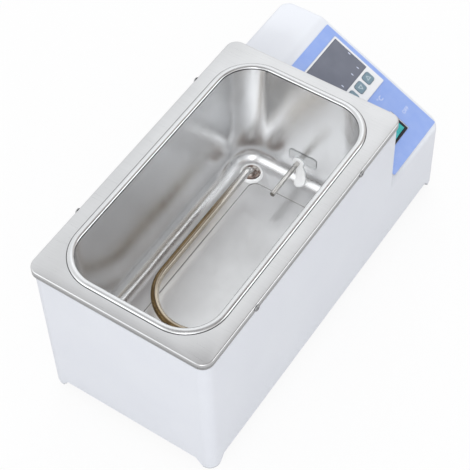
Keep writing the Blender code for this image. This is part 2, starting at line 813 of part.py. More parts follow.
def probe():
    """The temperature probe through the far wall, with its seal inside and its nut outside."""
    height = floor_top + probe_height
    length = probe_reach + probe_tail
    profile = [(0.0, length), (probe_radius - probe_tip_round, length), (probe_radius, length - probe_tip_round),
               (probe_radius, 0.0), (0.0, 0.0)]
    made = turned("probe", profile, "brushed_steel", steps=screw_sides)
    made.rotation_euler = (0.0, -math.pi / 2, 0.0)
    made.location = (tank_x + wall_at_probe + probe_tail, probe_side_y, height)
    lean = wall_slope * probe_seal_radius
    bore = probe_radius + seat_gap
    ring = [(probe_seal_radius - probe_seal_height, probe_seal_height), (probe_seal_radius, 0.0), (bore, 0.0),
            (bore, probe_seal_height)]
    seal = turned("probe_seal", ring, "silicone")
    seal.rotation_euler = (0.0, -math.pi / 2, 0.0)
    seal.location = (tank_x + wall_at_probe - lean - seat_gap, probe_side_y, height)
    place = (tank_x + wall_at_probe + tank_sheet + lean + seat_gap, probe_side_y, height)
    hex_nut("probe_nut", probe_nut_radius, probe_nut_height, probe_radius, "brass", place, (0.0, math.pi / 2, 0.0))


def insulation_jacket():
    """A blanket round the tank that follows its tapered walls."""
    low = floor_top + jacket_bottom_rise
    high = flange_height - jacket_top_drop
    made = box("insulation_jacket", (inside_left, -inside_half_width, low),
               (bulkhead_left - seat_gap, inside_half_width, high), "blanket", radius=inside_corner_radius)
    rings = []
    for height in (low - overrun, high + overrun):
        down = (flange_height - height) / (tank_depth - floor_fillet)
        clear = tank_sheet + 2 * seat_gap - wall_taper * down
        radius = well_corner_radius + (bottom_corner_radius - well_corner_radius) * down
        rings.append(rounded_ring(well_half_length + clear, well_half_width + clear, radius + clear, height, tank_x,
                                  tank_corner_steps))
    bm = bmesh.new()
    for loop in loft(bm, rings):
        bmesh.ops.contextual_create(bm, geom=loop)
    boolean(made, add_object("jacket_well_cutter", to_mesh("jacket_well_cutter", bm), None))
    hole = cylinder("jacket_hole_cutter", probe_nut_radius + seat_gap, probe_tail * 2)
    hole.rotation_euler = (0.0, math.pi / 2, 0.0)
    hole.location = (tank_x + wall_at_probe, probe_side_y, floor_top + probe_height)
    boolean(made, hole)
    shade(made)


def overheat_cutout():
    """A snap disc thermostat held against the underside of the floor panel."""
    below = cutout_height + cutout_boss_height
    profile = [(0.0, 0.0), (cutout_radius, 0.0), (cutout_radius, -cutout_height), (cutout_boss_radius, -cutout_height),
               (cutout_boss_radius, -below), (0.0, -below)]
    made = turned("overheat_cutout", profile, "black_plastic")
    made.location = (tank_x + cutout_x, 0.0, floor_under - panel_depth - seat_gap)


def control_overlay():
    """The blue film on the slope, open round the controller and the switch."""
    low = (overlay_left_margin, overlay_front_margin, seat_gap)
    high = (control_length - overlay_right_margin, overlay_back_reach, seat_gap + overlay_sheet)
    made = box("control_overlay", low, high, "blue_film", slope, overlay_corner_radius)
    for left, right, front, back in ((bezel_left, bezel_right, bezel_front_reach, bezel_back),
                                     (switch_left, switch_right, switch_front_reach, switch_back_reach)):
        boolean(made, box("overlay_cutter", (left - seat_gap, front - seat_gap, -overrun),
                          (right + seat_gap, back + seat_gap, overrun), parent=slope))


def key_places():
    """The middles of the keys along the slope frame."""
    middle = (bezel_left + bezel_right) / 2
    y = window_front - key_front_gap
    return [(middle + (index - (key_count - 1) / 2) * key_pitch, y) for index in range(key_count)]


def controller():
    """The temperature controller: bezel, window, keys and the module behind."""
    low = (bezel_left, bezel_front_reach, seat_gap)
    high = (bezel_right, bezel_back, seat_gap + bezel_thickness)
    bezel = box("controller_bezel", low, high, "white_plastic", slope, bezel_corner_radius)
    window_low = (bezel_left + bezel_rim, window_front)
    window_high = (bezel_right - bezel_rim, window_back)
    boolean(bezel, box("window_cutter", (*window_low, -overrun), (*window_high, overrun), parent=slope))
    inset = seat_gap
    window = ((window_low[0] + inset, window_low[1] + inset, seat_gap),
              (window_high[0] - inset, window_high[1] - inset, seat_gap + window_thickness))
    box("controller_window", *window, "smoked_window", slope)
    half = key_size / 2
    for number, (x, y) in enumerate(key_places(), 1):
        reach = half + key_play
        boolean(bezel, box("key_cutter", (x - reach, y - reach, -overrun), (x + reach, y + reach, overrun),
                           parent=slope, radius=key_corner_radius + key_play))
        key = box(f"key_{number}", (-half, -half, 0.0), (half, half, key_height), "key_plastic", slope,
                  key_corner_radius)
        key.location = (x, y, key_travel + seat_gap)
        shade(key)
    shade(bezel)
    inset = module_side_inset
    box("controller_module", (bezel_left + inset, bezel_front_reach + inset, -module_depth),
        (bezel_right - inset, bezel_back - inset, 0.0), "grey_plastic", slope)


def rocker_switch():
    """The power switch: a framed body with a well, a tilting rocker and four blades."""
    low = (switch_left, switch_front_reach, seat_gap)
    high = (switch_right, switch_back_reach, switch_top)
    body = box("switch_body", low, high, "black_plastic", slope, overlay_corner_radius)
    inset = switch_body_inset
    boolean(body, box("switch_core", (low[0] + inset, low[1] + inset, -switch_body_depth),
                      (high[0] - inset, high[1] - inset, (seat_gap + switch_top) / 2), parent=slope), "UNION")
    well_low = (low[0] + switch_end_rim, low[1] + switch_side_rim, switch_top - switch_well_depth)
    well_high = (high[0] - switch_end_rim, high[1] - switch_side_rim, switch_top + overrun)
    boolean(body, box("switch_well_cutter", well_low, well_high, parent=slope))
    shade(body)
    reach = switch_length / 2 - switch_end_rim - rocker_play
    half_width = switch_width / 2 - switch_side_rim - rocker_play
    top = math.asin(rocker_rise / reach)
    bottom = -math.asin(rocker_skirt / reach)
    right = [(reach * math.cos(a), reach * math.sin(a)) for a in (bottom, bottom / 2, 0.0, top / 2, top)]
    left = [(-x, z) for x, z in reversed(right)]
    outline = right + [(0.0, rocker_rise * rocker_valley_share)] + left
    rocker = prism("rocker", outline, -half_width, half_width, 1, "green_lens", slope)
    rocker.location = (switch_centre_from_step, (switch_front_reach + switch_back_reach) / 2,
                       switch_top - rocker_pivot_drop)
    rocker.rotation_euler = (0.0, math.radians(rocker_tilt_degrees), 0.0)
    shade(rocker, 40.0)
    top = -switch_body_depth - seat_gap
    middle_y = (switch_front_reach + switch_back_reach) / 2
    ways = ((-1, -1), (1, -1), (-1, 1), (1, 1))
    for number, (along, across) in enumerate(ways, 1):
        x = switch_centre_from_step + along * blade_pitch_along / 2
        y = middle_y + across * blade_pitch_across / 2
        box(f"switch_blade_{number}", (x - blade_thickness / 2, y - blade_width / 2, top - blade_length),
            (x + blade_thickness / 2, y + blade_width / 2, top), "brass", slope)


def mains_inlet():
    """The mains inlet socket in the back wall, with three flat pins in its well."""
    half_length = inlet_flange_length / 2
    half_height = inlet_flange_height / 2
    top = seat_gap + inlet_flange_thickness
    made = box("mains_inlet", (-half_length, -half_height, seat_gap), (half_length, half_height, top),
               "black_plastic", inlet_frame, inlet_flange_radius)
    half_length = inlet_body_length / 2
    half_height = inlet_body_height / 2
    boolean(made, box("inlet_core", (-half_length, -half_height, -inlet_body_depth),
                      (half_length, half_height, (seat_gap + top) / 2), parent=inlet_frame), "UNION")
    half_length = inlet_well_length / 2
    half_height = inlet_well_height / 2
    cut = inlet_well_chamfer
    outline = [(-half_length, -half_height), (half_length, -half_height), (half_length, half_height - cut),
               (half_length - cut, half_height), (cut - half_length, half_height), (-half_length, half_height - cut)]
    boolean(made, prism("inlet_well_cutter", outline, top - inlet_well_depth, top + overrun, 2, parent=inlet_frame))
    shade(made)
    low = top - inlet_well_depth + seat_gap
    for number, (x, y) in enumerate(((-pin_pitch, -pin_rise), (pin_pitch, -pin_rise), (0.0, pin_rise)), 1):
        box(f"inlet_pin_{number}", (x - pin_width / 2, y - pin_height / 2, low),
            (x + pin_width / 2, y + pin_height / 2, low + pin_length), "brass", inlet_frame)


def electrics():
    """What stands on the base plate in the control end: relay on its sink, terminals and earth stud."""
    floor = base_top + seat_gap
    x, y = control_mid_x, relay_y
    box("relay_sink", (x - relay_length / 2, y - relay_width / 2, floor),
        (x + relay_length / 2, y + relay_width / 2, floor + relay_sink_height), "zinc_sheet")
    low = floor + relay_sink_height + seat_gap
    box("solid_state_relay", (x - relay_length / 2, y - relay_width / 2, low),
        (x + relay_length / 2, y + relay_width / 2, low + relay_height), "black_plastic")
    half_length = terminal_block_length / 2
    half_width = terminal_block_width / 2
    block = box("terminal_block", (x - half_length, terminal_block_y - half_width, floor),
                (x + half_length, terminal_block_y + half_width, floor + terminal_block_height), "white_plastic")
    pitch = terminal_block_length / terminal_block_ways
    for index in range(1, terminal_block_ways):
        middle = x - half_length + index * pitch
        boolean(block, box("block_cutter", (middle - casing_sheet / 2, terminal_block_y - half_width - overrun,
                                            floor + terminal_block_height / 2),
                           (middle + casing_sheet / 2, terminal_block_y + half_width + overrun,
                            floor + terminal_block_height + overrun)))
    stud = cylinder("earth_stud", stud_radius, stud_length, "brass", sides=screw_sides)
    stud.location = (x, stud_y, base_top - base_sheet)
    hex_nut("earth_nut", stud_nut_radius, stud_nut_height, stud_radius, "brass", (x, stud_y, floor))


for old in list(bpy.data.objects):
    bpy.data.objects.remove(old, do_unlink=True)
parts = bpy.data.collections.new("laboratory_water_bath")
cutters = bpy.data.collections.new("cutters")
bpy.context.scene.collection.children.link(parts)
bpy.context.scene.collection.children.link(cutters)

# The slope's own frame: X along the bath from the step, Y up the slope, Z out of it
slope = bpy.data.objects.new("slope_frame", None)
slope.location = (step_x, -casing_half_width, slope_front_height)
slope.rotation_euler = (slope_angle, 0.0, 0.0)
parts.objects.link(slope)

# The inlet's own frame: Z out of the back wall, Y up
inlet_frame = bpy.data.objects.new("inlet_frame", None)
inlet_frame.location = (step_x + control_length * inlet_x_share, casing_half_width, inlet_height)
inlet_frame.rotation_euler = (math.pi / 2, 0.0, math.pi)
parts.objects.link(inlet_frame)

casing()
tank()
base_plate()
foot_pads()
bulkhead()
cable_grommets()
all_screws()
heating_element()
element_glands()
probe()
insulation_jacket()
overheat_cutout()
control_overlay()
controller()
rocker_switch()
mains_inlet()
electrics()
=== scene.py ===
"""A laboratory water bath: a deep drawn steel tank in a powder coated casing with a sloped control end."""
import math

import bmesh
import bpy
from mathutils import Matrix, Vector, noise


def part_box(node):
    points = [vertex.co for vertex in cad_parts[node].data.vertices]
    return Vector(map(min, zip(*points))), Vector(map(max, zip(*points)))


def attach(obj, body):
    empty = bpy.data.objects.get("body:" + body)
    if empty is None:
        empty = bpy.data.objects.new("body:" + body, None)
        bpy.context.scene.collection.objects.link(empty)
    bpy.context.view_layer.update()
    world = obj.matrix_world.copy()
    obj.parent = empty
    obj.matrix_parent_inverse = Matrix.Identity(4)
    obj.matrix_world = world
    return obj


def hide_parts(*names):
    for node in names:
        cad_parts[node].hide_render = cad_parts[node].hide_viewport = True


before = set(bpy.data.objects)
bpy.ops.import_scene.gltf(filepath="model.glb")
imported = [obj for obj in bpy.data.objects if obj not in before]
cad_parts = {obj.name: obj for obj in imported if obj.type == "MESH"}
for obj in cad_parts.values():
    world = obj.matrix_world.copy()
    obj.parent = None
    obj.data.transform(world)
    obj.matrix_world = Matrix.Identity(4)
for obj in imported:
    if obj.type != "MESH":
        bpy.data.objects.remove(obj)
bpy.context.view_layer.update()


# Casing: one folded sheet steel shell, tall round the tank and sloped at the control end. It is powder
# coated in a cool white, and every fold and cut is softened by the thickness of the coat.
def hue(code):
    """Linear colour of an sRGB hex value."""
    parts = [int(code[i:i + 2], 16) / 255 for i in (0, 2, 4)]
    return [c / 12.92 if c <= 0.04045 else ((c + 0.055) / 1.055) ** 2.4 for c in parts] + [1.0]


def per_mm(size):
    """Texture scale on metre coordinates for a pattern that repeats in this many millimetres."""
    return 1000.0 / size


def finish(name, code, roughness, **sockets):
    """Start the material of a real finish, with what is the same all over it."""
    look = bpy.data.materials.new(name)
    look.use_nodes = True
    shader = look.node_tree.nodes["Principled BSDF"]
    shader.inputs["Base Color"].default_value = hue(code)
    shader.inputs["Roughness"].default_value = roughness
    for socket, value in sockets.items():
        shader.inputs[socket.replace("_", " ")].default_value = value
    return look


def add(look, kind, inputs=None, **settings):
    """Add a node to a material or world, with its settings and what feeds it, and return its outputs."""
    made = look.node_tree.nodes.new("ShaderNode" + kind)
    for name, value in settings.items():
        setattr(made, name, value)
    for socket, value in (inputs or {}).items():
        if isinstance(value, bpy.types.NodeSocket):
            look.node_tree.links.new(value, made.inputs[socket])
        else:
            made.inputs[socket].default_value = value
    return made.outputs


def feed(look, **sockets):
    """Link outputs into a material's shader."""
    shader = look.node_tree.nodes["Principled BSDF"]
    for socket, output in sockets.items():
        look.node_tree.links.new(output, shader.inputs[socket.replace("_", " ")])


def copy_of(node):
    """A CAD node's mesh with its loose triangles merged and its flat faces joined."""
    bm = bmesh.new()
    bm.from_mesh(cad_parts[node].data)
    bmesh.ops.remove_doubles(bm, verts=bm.verts, dist=0.000001)
    bmesh.ops.dissolve_limit(bm, angle_limit=math.radians(0.6), verts=bm.verts, edges=bm.edges)
    return bm


def settle(name, bm, looks, body, stands_for=(), crease=32.0, edge=0.0):
    """Turn a finished bmesh into a piece on its body, shaded smooth up to a crease, with eased edges."""
    mesh = bpy.data.meshes.new(name)
    bm.to_mesh(mesh)
    bm.free()
    for look in looks if isinstance(looks, (list, tuple)) else [looks]:
        mesh.materials.append(look)
    mesh.shade_smooth()
    mesh.set_sharp_from_angle(angle=math.radians(crease))
    made = bpy.data.objects.new(name, mesh)
    bpy.context.scene.collection.objects.link(made)
    if edge:
        ease = made.modifiers.new("ease", "BEVEL")
        ease.width = edge
        ease.segments = 2
        ease.limit_method = "ANGLE"
        ease.angle_limit = math.radians(crease)
        ease.harden_normals = True
    if stands_for:
        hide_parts(*stands_for)
    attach(made, body)
    return made


def dress(name, node, look, body="bath", edge=0.0):
    """Settle a copy of one CAD node in its finish and let it stand for that node."""
    settle(name, copy_of(node), look, body, [node], edge=edge)


# Powder coat: satin, with a fine orange peel and a hardly visible clouding
coat = finish("satin_powder_coat", "e6e9f0", 0.36)
place = add(coat, "TexCoord")["Object"]
cloud = add(coat, "TexNoise", {"Vector": place, "Scale": per_mm(55), "Detail": 3.0})["Fac"]
peel = add(coat, "TexNoise", {"Vector": place, "Scale": per_mm(1.4), "Detail": 2.0})["Fac"]
feed(coat,
     Base_Color=add(coat, "Mix", {0: cloud, 6: hue("e3e6ee"), 7: hue("e9ecf2")}, data_type="RGBA")[2],
     Roughness=add(coat, "MapRange", {"Value": cloud, "To Min": 0.31, "To Max": 0.42})["Result"],
     Normal=add(coat, "Bump", {"Height": peel, "Distance": 0.00002, "Strength": 0.5})["Normal"])
dress("casing_shell", "casing", coat)


# Base plate and bulkhead: zinc plated sheet, punched and screwed in. The plating gives a dull grey with
# a faint spangle of lighter and darker crystals.
zinc = finish("zinc_plated_sheet", "a4a8ab", 0.42, Metallic=1.0)
place = add(zinc, "TexCoord")["Object"]
spangle = add(zinc, "TexVoronoi", {"Vector": place, "Scale": per_mm(7)})["Color"]
grain = add(zinc, "TexNoise", {"Vector": place, "Scale": per_mm(2.5), "Detail": 3.0})["Fac"]
feed(zinc,
     Base_Color=add(zinc, "Mix", {0: spangle, 6: hue("989ca0"), 7: hue("b2b6b8")}, data_type="RGBA")[2],
     Roughness=add(zinc, "MapRange", {"Value": grain, "To Min": 0.34, "To Max": 0.52})["Result"])
dress("bottom_plate", "base_plate", zinc)
dress("divider_plate", "bulkhead", zinc)


# Foot pads: light grey moulded rubber, pushed up into each leg. Rubber scatters light softly and holds
# a little dust, so it is matt with a fine grain.
rubber = finish("moulded_grey_rubber", "cfd2d6", 0.72)
place = add(rubber, "TexCoord")["Object"]
grain = add(rubber, "TexNoise", {"Vector": place, "Scale": per_mm(0.9), "Detail": 3.0})["Fac"]
dust = add(rubber, "TexNoise", {"Vector": place, "Scale": per_mm(14), "Detail": 2.0})["Fac"]
feed(rubber,
     Base_Color=add(rubber, "Mix", {0: dust, 6: hue("c6c9cd"), 7: hue("dadcdf")}, data_type="RGBA")[2],
     Roughness=add(rubber, "MapRange", {"Value": dust, "To Min": 0.62, "To Max": 0.8})["Result"],
     Normal=add(rubber, "Bump", {"Height": grain, "Distance": 0.00005, "Strength": 0.6})["Normal"])
for number in range(1, 5):
    dress(f"rubber_foot_{number}", f"foot_pad_{number}", rubber, edge=0.0004)


# Cable grommets: black rubber rings snapped into the bulkhead's two holes. They are matt, with the dull
# bloom that carbon filled rubber gets.
def mottled(name, code, roughness, patch, shades, dullness, detail=2.0, **sockets):
    """Start a finish whose colour and gloss drift together, in patches of this many millimetres."""
    look = finish(name, code, roughness, **sockets)
    place = add(look, "TexCoord")["Object"]
    drift = add(look, "TexNoise", {"Vector": place, "Scale": per_mm(patch), "Detail": detail})["Fac"]
    low, high = shades
    keen, dull = dullness
    feed(look,
         Base_Color=add(look, "Mix", {0: drift, 6: hue(low), 7: hue(high)}, data_type="RGBA")[2],
         Roughness=add(look, "MapRange", {"Value": drift, "To Min": keen, "To Max": dull})["Result"])
    return look


black_rubber = mottled("black_rubber", "1c1c1e", 0.6, patch=0.8, shades=("161617", "242426"),
                       dullness=(0.5, 0.68))
for number in (1, 2):
    dress(f"grommet_ring_{number}", f"cable_grommet_{number}", black_rubber, edge=0.0002)


# Insulation jacket: a glass wool blanket packed round the tank and held there by the casing. It is off-white
# and quite matt, and its matted fibres make it lumpy.
wool = finish("glass_wool_blanket", "d9d3bd", 0.95)
place = add(wool, "TexCoord")["Object"]
fibre = add(wool, "TexNoise", {"Vector": place, "Scale": per_mm(3), "Detail": 6.0, "Distortion": 1.5})["Fac"]
feed(wool,
     Base_Color=add(wool, "Mix", {0: fibre, 6: hue("c4bb9c"), 7: hue("ece7d6")}, data_type="RGBA")[2],
     Normal=add(wool, "Bump", {"Height": fibre, "Distance": 0.0006, "Strength": 0.8})["Normal"])
dress("wool_jacket", "insulation_jacket", wool)


# Tank: one sheet of stainless steel, deep drawn in stages and annealed between them. Its flange was
# brushed across with a belt afterwards, and a bead was pressed into it to stiffen the mouth.
tank_low, tank_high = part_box("tank")
tank_middle = (tank_low.x + tank_high.x) / 2
bead_rise = 0.0020
flange_top = tank_high.z - bead_rise
half_length = (tank_high.x - tank_low.x) / 2
half_width = (tank_high.y - tank_low.y) / 2
skirt_drop = 0.0076
sheet = 0.0010
flange_corner = 0.012
flange_roll = 0.0016
bead_foot = (0.0130, 0.0155)
bead_width = 0.0070
bead_radius = 0.044
bead_apron = 0.0006
tank_floor = 0.0590
wall_lean = 0.0030
floor_fillet = 0.0155
corner_at_floor = 0.028
panel_border = 0.0310
panel_drop = 0.0010
panel_radius = 0.010
corner_steps = 14
brushed_face, drawn_face, shaded_step_face, dark_crease_face = range(4)
bm = bmesh.new()
flat = (Matrix.Translation((tank_middle, 0.0, flange_top - skirt_drop))
        @ Matrix.Diagonal((half_length, half_width, 1, 1)))
corners = bmesh.ops.create_grid(bm, x_segments=1, y_segments=1, size=1.0, matrix=flat)["verts"]
bmesh.ops.bevel(bm, geom=corners, offset=flange_corner, segments=corner_steps, profile=0.5,
                affect="VERTICES", material=-1)
bm.faces.ensure_lookup_table()
mouth = {"edges": list(bm.faces[0].edges), "size": (half_length, half_width, flange_corner)}
bmesh.ops.delete(bm, geom=[bm.faces[0]], context="FACES_ONLY")


def draw(length, width, radius, height, surface=drawn_face):
    """Draw the sheet's inner edge on to the next rounded rectangle, by half sizes about the tank's middle."""
    old_length, old_width, old_radius = mouth["size"]
    made = bmesh.ops.extrude_edge_only(bm, edges=mouth["edges"])["geom"]
    for vert in (v for v in made if isinstance(v, bmesh.types.BMVert)):
        along = math.copysign(1.0, vert.co.x - tank_middle)
        across = math.copysign(1.0, vert.co.y)
        turn_x = (vert.co.x - tank_middle - along * (old_length - old_radius)) / old_radius
        turn_y = (vert.co.y - across * (old_width - old_radius)) / old_radius
        vert.co = (tank_middle + along * (length - radius) + turn_x * radius,
                   across * (width - radius) + turn_y * radius, height)
    for face in (f for f in made if isinstance(f, bmesh.types.BMFace)):
        face.material_index = surface
    mouth["edges"] = [e for e in made if isinstance(e, bmesh.types.BMEdge)]
    mouth["size"] = (length, width, radius)


# From the skirt's foot: the skirt and the roll over its top, the flange, and the bead pressed up out of it
for step in range(5):
    turn = math.radians(22.5 * step)
    inset = flange_roll * (1 - math.cos(turn))
    draw(half_length - inset, half_width - inset, flange_corner - inset,
         flange_top - flange_roll * (1 - math.sin(turn)), brushed_face)
draw(half_length - bead_foot[0] + bead_apron, half_width - bead_foot[1] + bead_apron,
     bead_radius + bead_apron, flange_top, brushed_face)
# The bead's first and last steps are its feet, painted dark as shade and dark reflection in the crease
for step in range(13):
    turn = math.pi * step / 12
    inset = bead_width * (1 - math.cos(turn)) / 2
    draw(half_length - bead_foot[0] - inset, half_width - bead_foot[1] - inset, bead_radius - inset,
         flange_top + bead_rise * math.sin(turn), dark_crease_face if step < 2 or step > 11 else drawn_face)

# The walls lean in a little toward the floor, and a fillet turns them into it
well_length = half_length - bead_foot[0] - bead_width
well_width = half_width - bead_foot[1] - bead_width
well_radius = bead_radius - bead_width
for share, surface in ((0.008, dark_crease_face), (0.02, drawn_face), (0.25, drawn_face), (0.5, drawn_face),
                       (0.75, drawn_face)):
    draw(well_length - wall_lean * share, well_width - wall_lean * share,
         well_radius + (corner_at_floor - well_radius) * share,
         flange_top + (tank_floor + floor_fillet - flange_top) * share, surface)
for step in range(9):
    turn = math.pi / 2 * step / 8
    inset = floor_fillet * (1 - math.cos(turn))
    draw(well_length - wall_lean - inset, well_width - wall_lean - inset, corner_at_floor - inset,
         tank_floor + floor_fillet * (1 - math.sin(turn)))

# A small step sinks the middle of the floor, and the sunk panel closes it. The step's slope is painted darker
# as shade
for inset, drop, surface in ((0.0, 0.0, drawn_face), (0.0004, 0.0001, drawn_face),
                             (0.0009, 0.0009, shaded_step_face), (0.0013, panel_drop, drawn_face)):
    inner = panel_border + inset
    draw(well_length - wall_lean - inner, well_width - wall_lean - inner, panel_radius - inset,
         tank_floor - drop, surface)
panel = bmesh.ops.contextual_create(bm, geom=mouth["edges"])["faces"][0]
panel.material_index = drawn_face
bmesh.ops.recalc_face_normals(bm, faces=bm.faces)
if panel.normal.z < 0:
    bmesh.ops.reverse_faces(bm, faces=bm.faces)

# Brushed stainless: fine lines across the flange, drawn coarser than the real 0.1 mm grit so that they show
brushed = finish("belt_brushed_stainless", "dcdbd9", 0.3, Metallic=1.0, Anisotropic=0.35)
place = add(brushed, "TexCoord")["Object"]
along = add(brushed, "Mapping", {"Vector": place, "Scale": (1.0, 0.03, 0.03)})["Vector"]
lines = add(brushed, "TexNoise", {"Vector": along, "Scale": per_mm(1.1), "Detail": 5.0,
                                  "Roughness": 0.65})["Fac"]
patch = add(brushed, "TexNoise", {"Vector": place, "Scale": per_mm(38), "Detail": 2.0})["Fac"]
tone = add(brushed, "Math", {0: lines, 1: patch}, operation="ADD")["Value"]
share = add(brushed, "MapRange", {"Value": tone, "From Min": 0.7, "From Max": 1.3})["Result"]
feed(brushed,
     Base_Color=add(brushed, "Mix", {0: share, 6: hue("d6d6d7"), 7: hue("e0e0e1")}, data_type="RGBA")[2],
     Roughness=add(brushed, "MapRange", {"Value": lines, "To Min": 0.24, "To Max": 0.34})["Result"],
     Normal=add(brushed, "Bump", {"Height": lines, "Distance": 0.00002, "Strength": 0.3})["Normal"])

# Drawn stainless: bright annealed and left as it came from the press. The sheet waves a little over 70 mm,
# which bends what it mirrors into soft streaks, draw marks down the walls blur it, and the floor is duller
drawn = finish("bright_drawn_stainless", "e6e6e7", 0.22, Metallic=1.0)
place = add(drawn, "TexCoord")["Object"]
upright = add(drawn, "Mapping", {"Vector": place, "Scale": (1.0, 1.0, 0.12)})["Vector"]
marks = add(drawn, "TexNoise", {"Vector": upright, "Scale": per_mm(9), "Detail": 4.0})["Fac"]
stain = add(drawn, "TexNoise", {"Vector": place, "Scale": per_mm(45), "Detail": 3.0})["Fac"]
leaning = add(drawn, "Mapping", {"Vector": place, "Rotation": (0.5, 0.6, 0.0),
                                 "Scale": (1.0, 1.0, 0.45)})["Vector"]
wave = add(drawn, "TexNoise", {"Vector": leaning, "Scale": per_mm(70), "Detail": 1.0})["Fac"]
waved = add(drawn, "Bump", {"Height": wave, "Distance": 0.0022, "Strength": 0.8})["Normal"]
level = add(drawn, "SeparateXYZ", {"Vector": place})["Z"]
coarser = add(drawn, "MapRange", {"Value": level, "From Min": tank_floor + 0.002, "From Max": tank_floor,
                                  "To Min": 0.0, "To Max": 0.09})["Result"]
rough = add(drawn, "MapRange", {"Value": marks, "To Min": 0.19, "To Max": 0.3})["Result"]
feed(drawn,
     Base_Color=add(drawn, "Mix", {0: stain, 6: hue("dededf"), 7: hue("eeeff0")}, data_type="RGBA")[2],
     Roughness=add(drawn, "Math", {0: rough, 1: coarser}, operation="ADD")["Value"],
     Normal=add(drawn, "Bump", {"Height": marks, "Distance": 0.0001, "Strength": 0.2,
                                "Normal": waved})["Normal"])

# Pressed step round the floor panel: the punch left its narrow slope duller than the sheet, and it is painted
# darker as shade in the crease
painted_step_shade = mottled("step_shade_painted_stainless", "8c8a88", 0.42, patch=2.0, shades=("7b7977", "a09e9c"),
                  dullness=(0.34, 0.52), detail=3.0, Metallic=1.0)

# Tight bends at the bead's two feet: the die pinched them dull, and they are painted as dark lines, the shade
# and dark reflection of the crease
painted_crease_dark = mottled("crease_shade_painted_stainless", "454345", 0.4, patch=6.0, shades=("3a383b", "6a686b"),
                  dullness=(0.32, 0.5), detail=3.0, Metallic=1.0)
tank = settle("drawn_tank", bm, [brushed, drawn, painted_step_shade, painted_crease_dark], "bath", ["tank"],
              crease=50.0)
wall = tank.modifiers.new("sheet", "SOLIDIFY")
wall.thickness = sheet
wall.offset = -1.0
wall.use_even_offset = True


# Screws: plated steel pan heads with a cross recess. Four hold the tank's skirt to the casing and six
# the base plate. The plating is bright, with grey where a driver or a cloth has worn it.
plated = mottled("plated_screw_steel", "b8b8b9", 0.28, patch=1.8, shades=("8f8f92", "c9c9ca"),
                 dullness=(0.2, 0.42), detail=3.0, Metallic=1.0)

# Recess: the dirt and shadow in the cross, nearly black
recess = finish("screw_recess_shadow", "2e2d2d", 0.5, Metallic=1.0)
grit = add(recess, "TexNoise", {"Vector": add(recess, "TexCoord")["Object"], "Scale": per_mm(0.4)})["Fac"]
feed(recess, Roughness=add(recess, "MapRange", {"Value": grit, "To Min": 0.4, "To Max": 0.65})["Result"])
head_radius = 0.0036
head_height = 0.0014
shank_radius = 0.0019
shank_length = 0.0060
recess_arm = (0.0024, 0.00055, 0.00006)
recess_sink = 0.00004


def screw_head(name, node):
    """A domed head with a dark cross recess, standing out of a side wall or hanging under the base."""
    low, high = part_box(node)
    bm = bmesh.new()
    head = bmesh.ops.create_circle(bm, cap_ends=True, segments=24, radius=head_radius)["verts"]
    top = head[0].link_faces[0]
    for rise, share in ((0.0005, 1.0), (0.0004, 0.93), (0.0003, 0.8), (0.0001, 0.62), (0.00005, 0.46)):
        lifted = bmesh.ops.extrude_face_region(bm, geom=[top])["geom"]
        moved = [v for v in lifted if isinstance(v, bmesh.types.BMVert)]
        bmesh.ops.delete(bm, geom=[top], context="FACES")
        top = [f for f in lifted if isinstance(f, bmesh.types.BMFace)][0]
        bmesh.ops.translate(bm, verts=moved, vec=(0.0, 0.0, rise))
        reach = max(v.co.to_2d().length for v in moved)
        bmesh.ops.scale(bm, verts=moved, vec=(head_radius * share / reach, head_radius * share / reach, 1.0))
    for way in (20.0, 110.0):
        slot = bmesh.ops.create_cube(bm, size=1.0, matrix=Matrix.Rotation(math.radians(way), 4, "Z")
                                     @ Matrix.Translation((0.0, 0.0, head_height - recess_sink))
                                     @ Matrix.Diagonal((*recess_arm, 1.0)))
        for face in {f for v in slot["verts"] for f in v.link_faces}:
            face.material_index = 1
    bmesh.ops.create_cone(bm, cap_ends=True, segments=16, radius1=shank_radius, radius2=shank_radius,
                          depth=shank_length, matrix=Matrix.Translation((0.0, 0.0, -shank_length / 2)))
    seat = (low + high) / 2
    if high.z - low.z > high.y - low.y:
        seat.z = low.z + head_height
        facing = Matrix.Rotation(math.pi, 4, "X")
    else:
        side = math.copysign(1.0, seat.y)
        seat.y = side * (max(high.y, -low.y) - head_height)
        facing = Matrix.Rotation(-side * math.pi / 2, 4, "X")
    bmesh.ops.transform(bm, matrix=Matrix.Translation(seat) @ facing, verts=bm.verts)
    settle(name, bm, [plated, recess], "bath", [node], crease=40.0)


for number in range(1, 5):
    screw_head(f"skirt_fixing_{number}", f"skirt_screw_{number}")
for number in range(1, 7):
    screw_head(f"base_fixing_{number}", f"base_screw_{number}")


# Heating element: a stainless sheathed tube bent to a U, with both ends turned down through the floor.
# Its hot length has a straw and bronze heat tint, and its cold ends stay bright.
tube_radius = 0.00425
tube_height = 0.0725
leg_y = 0.0485
gland_x = 0.0750
turn_x = -0.0860
drop_radius = 0.0130
tube_end = 0.0320
bm = bmesh.new()
ring = bmesh.ops.create_circle(bm, segments=20, radius=tube_radius,
                               matrix=Matrix.Translation((gland_x, -leg_y, tube_end)))["verts"]
edges = list({e for v in ring for e in v.link_edges})


def run(edges, way, steps):
    """Carry the tube's open end straight on by a vector."""
    for _ in range(steps):
        made = bmesh.ops.extrude_edge_only(bm, edges=edges)["geom"]
        moved = [v for v in made if isinstance(v, bmesh.types.BMVert)]
        bmesh.ops.translate(bm, verts=moved, vec=Vector(way) / steps)
        edges = [e for e in made if isinstance(e, bmesh.types.BMEdge)]
    return edges


def bend(edges, centre, axis, degrees, steps):
    """Carry the tube's open end round a bend."""
    made = bmesh.ops.spin(bm, geom=edges, cent=centre, axis=axis, angle=math.radians(degrees), steps=steps)
    return [e for e in made["geom_last"] if isinstance(e, bmesh.types.BMEdge)]


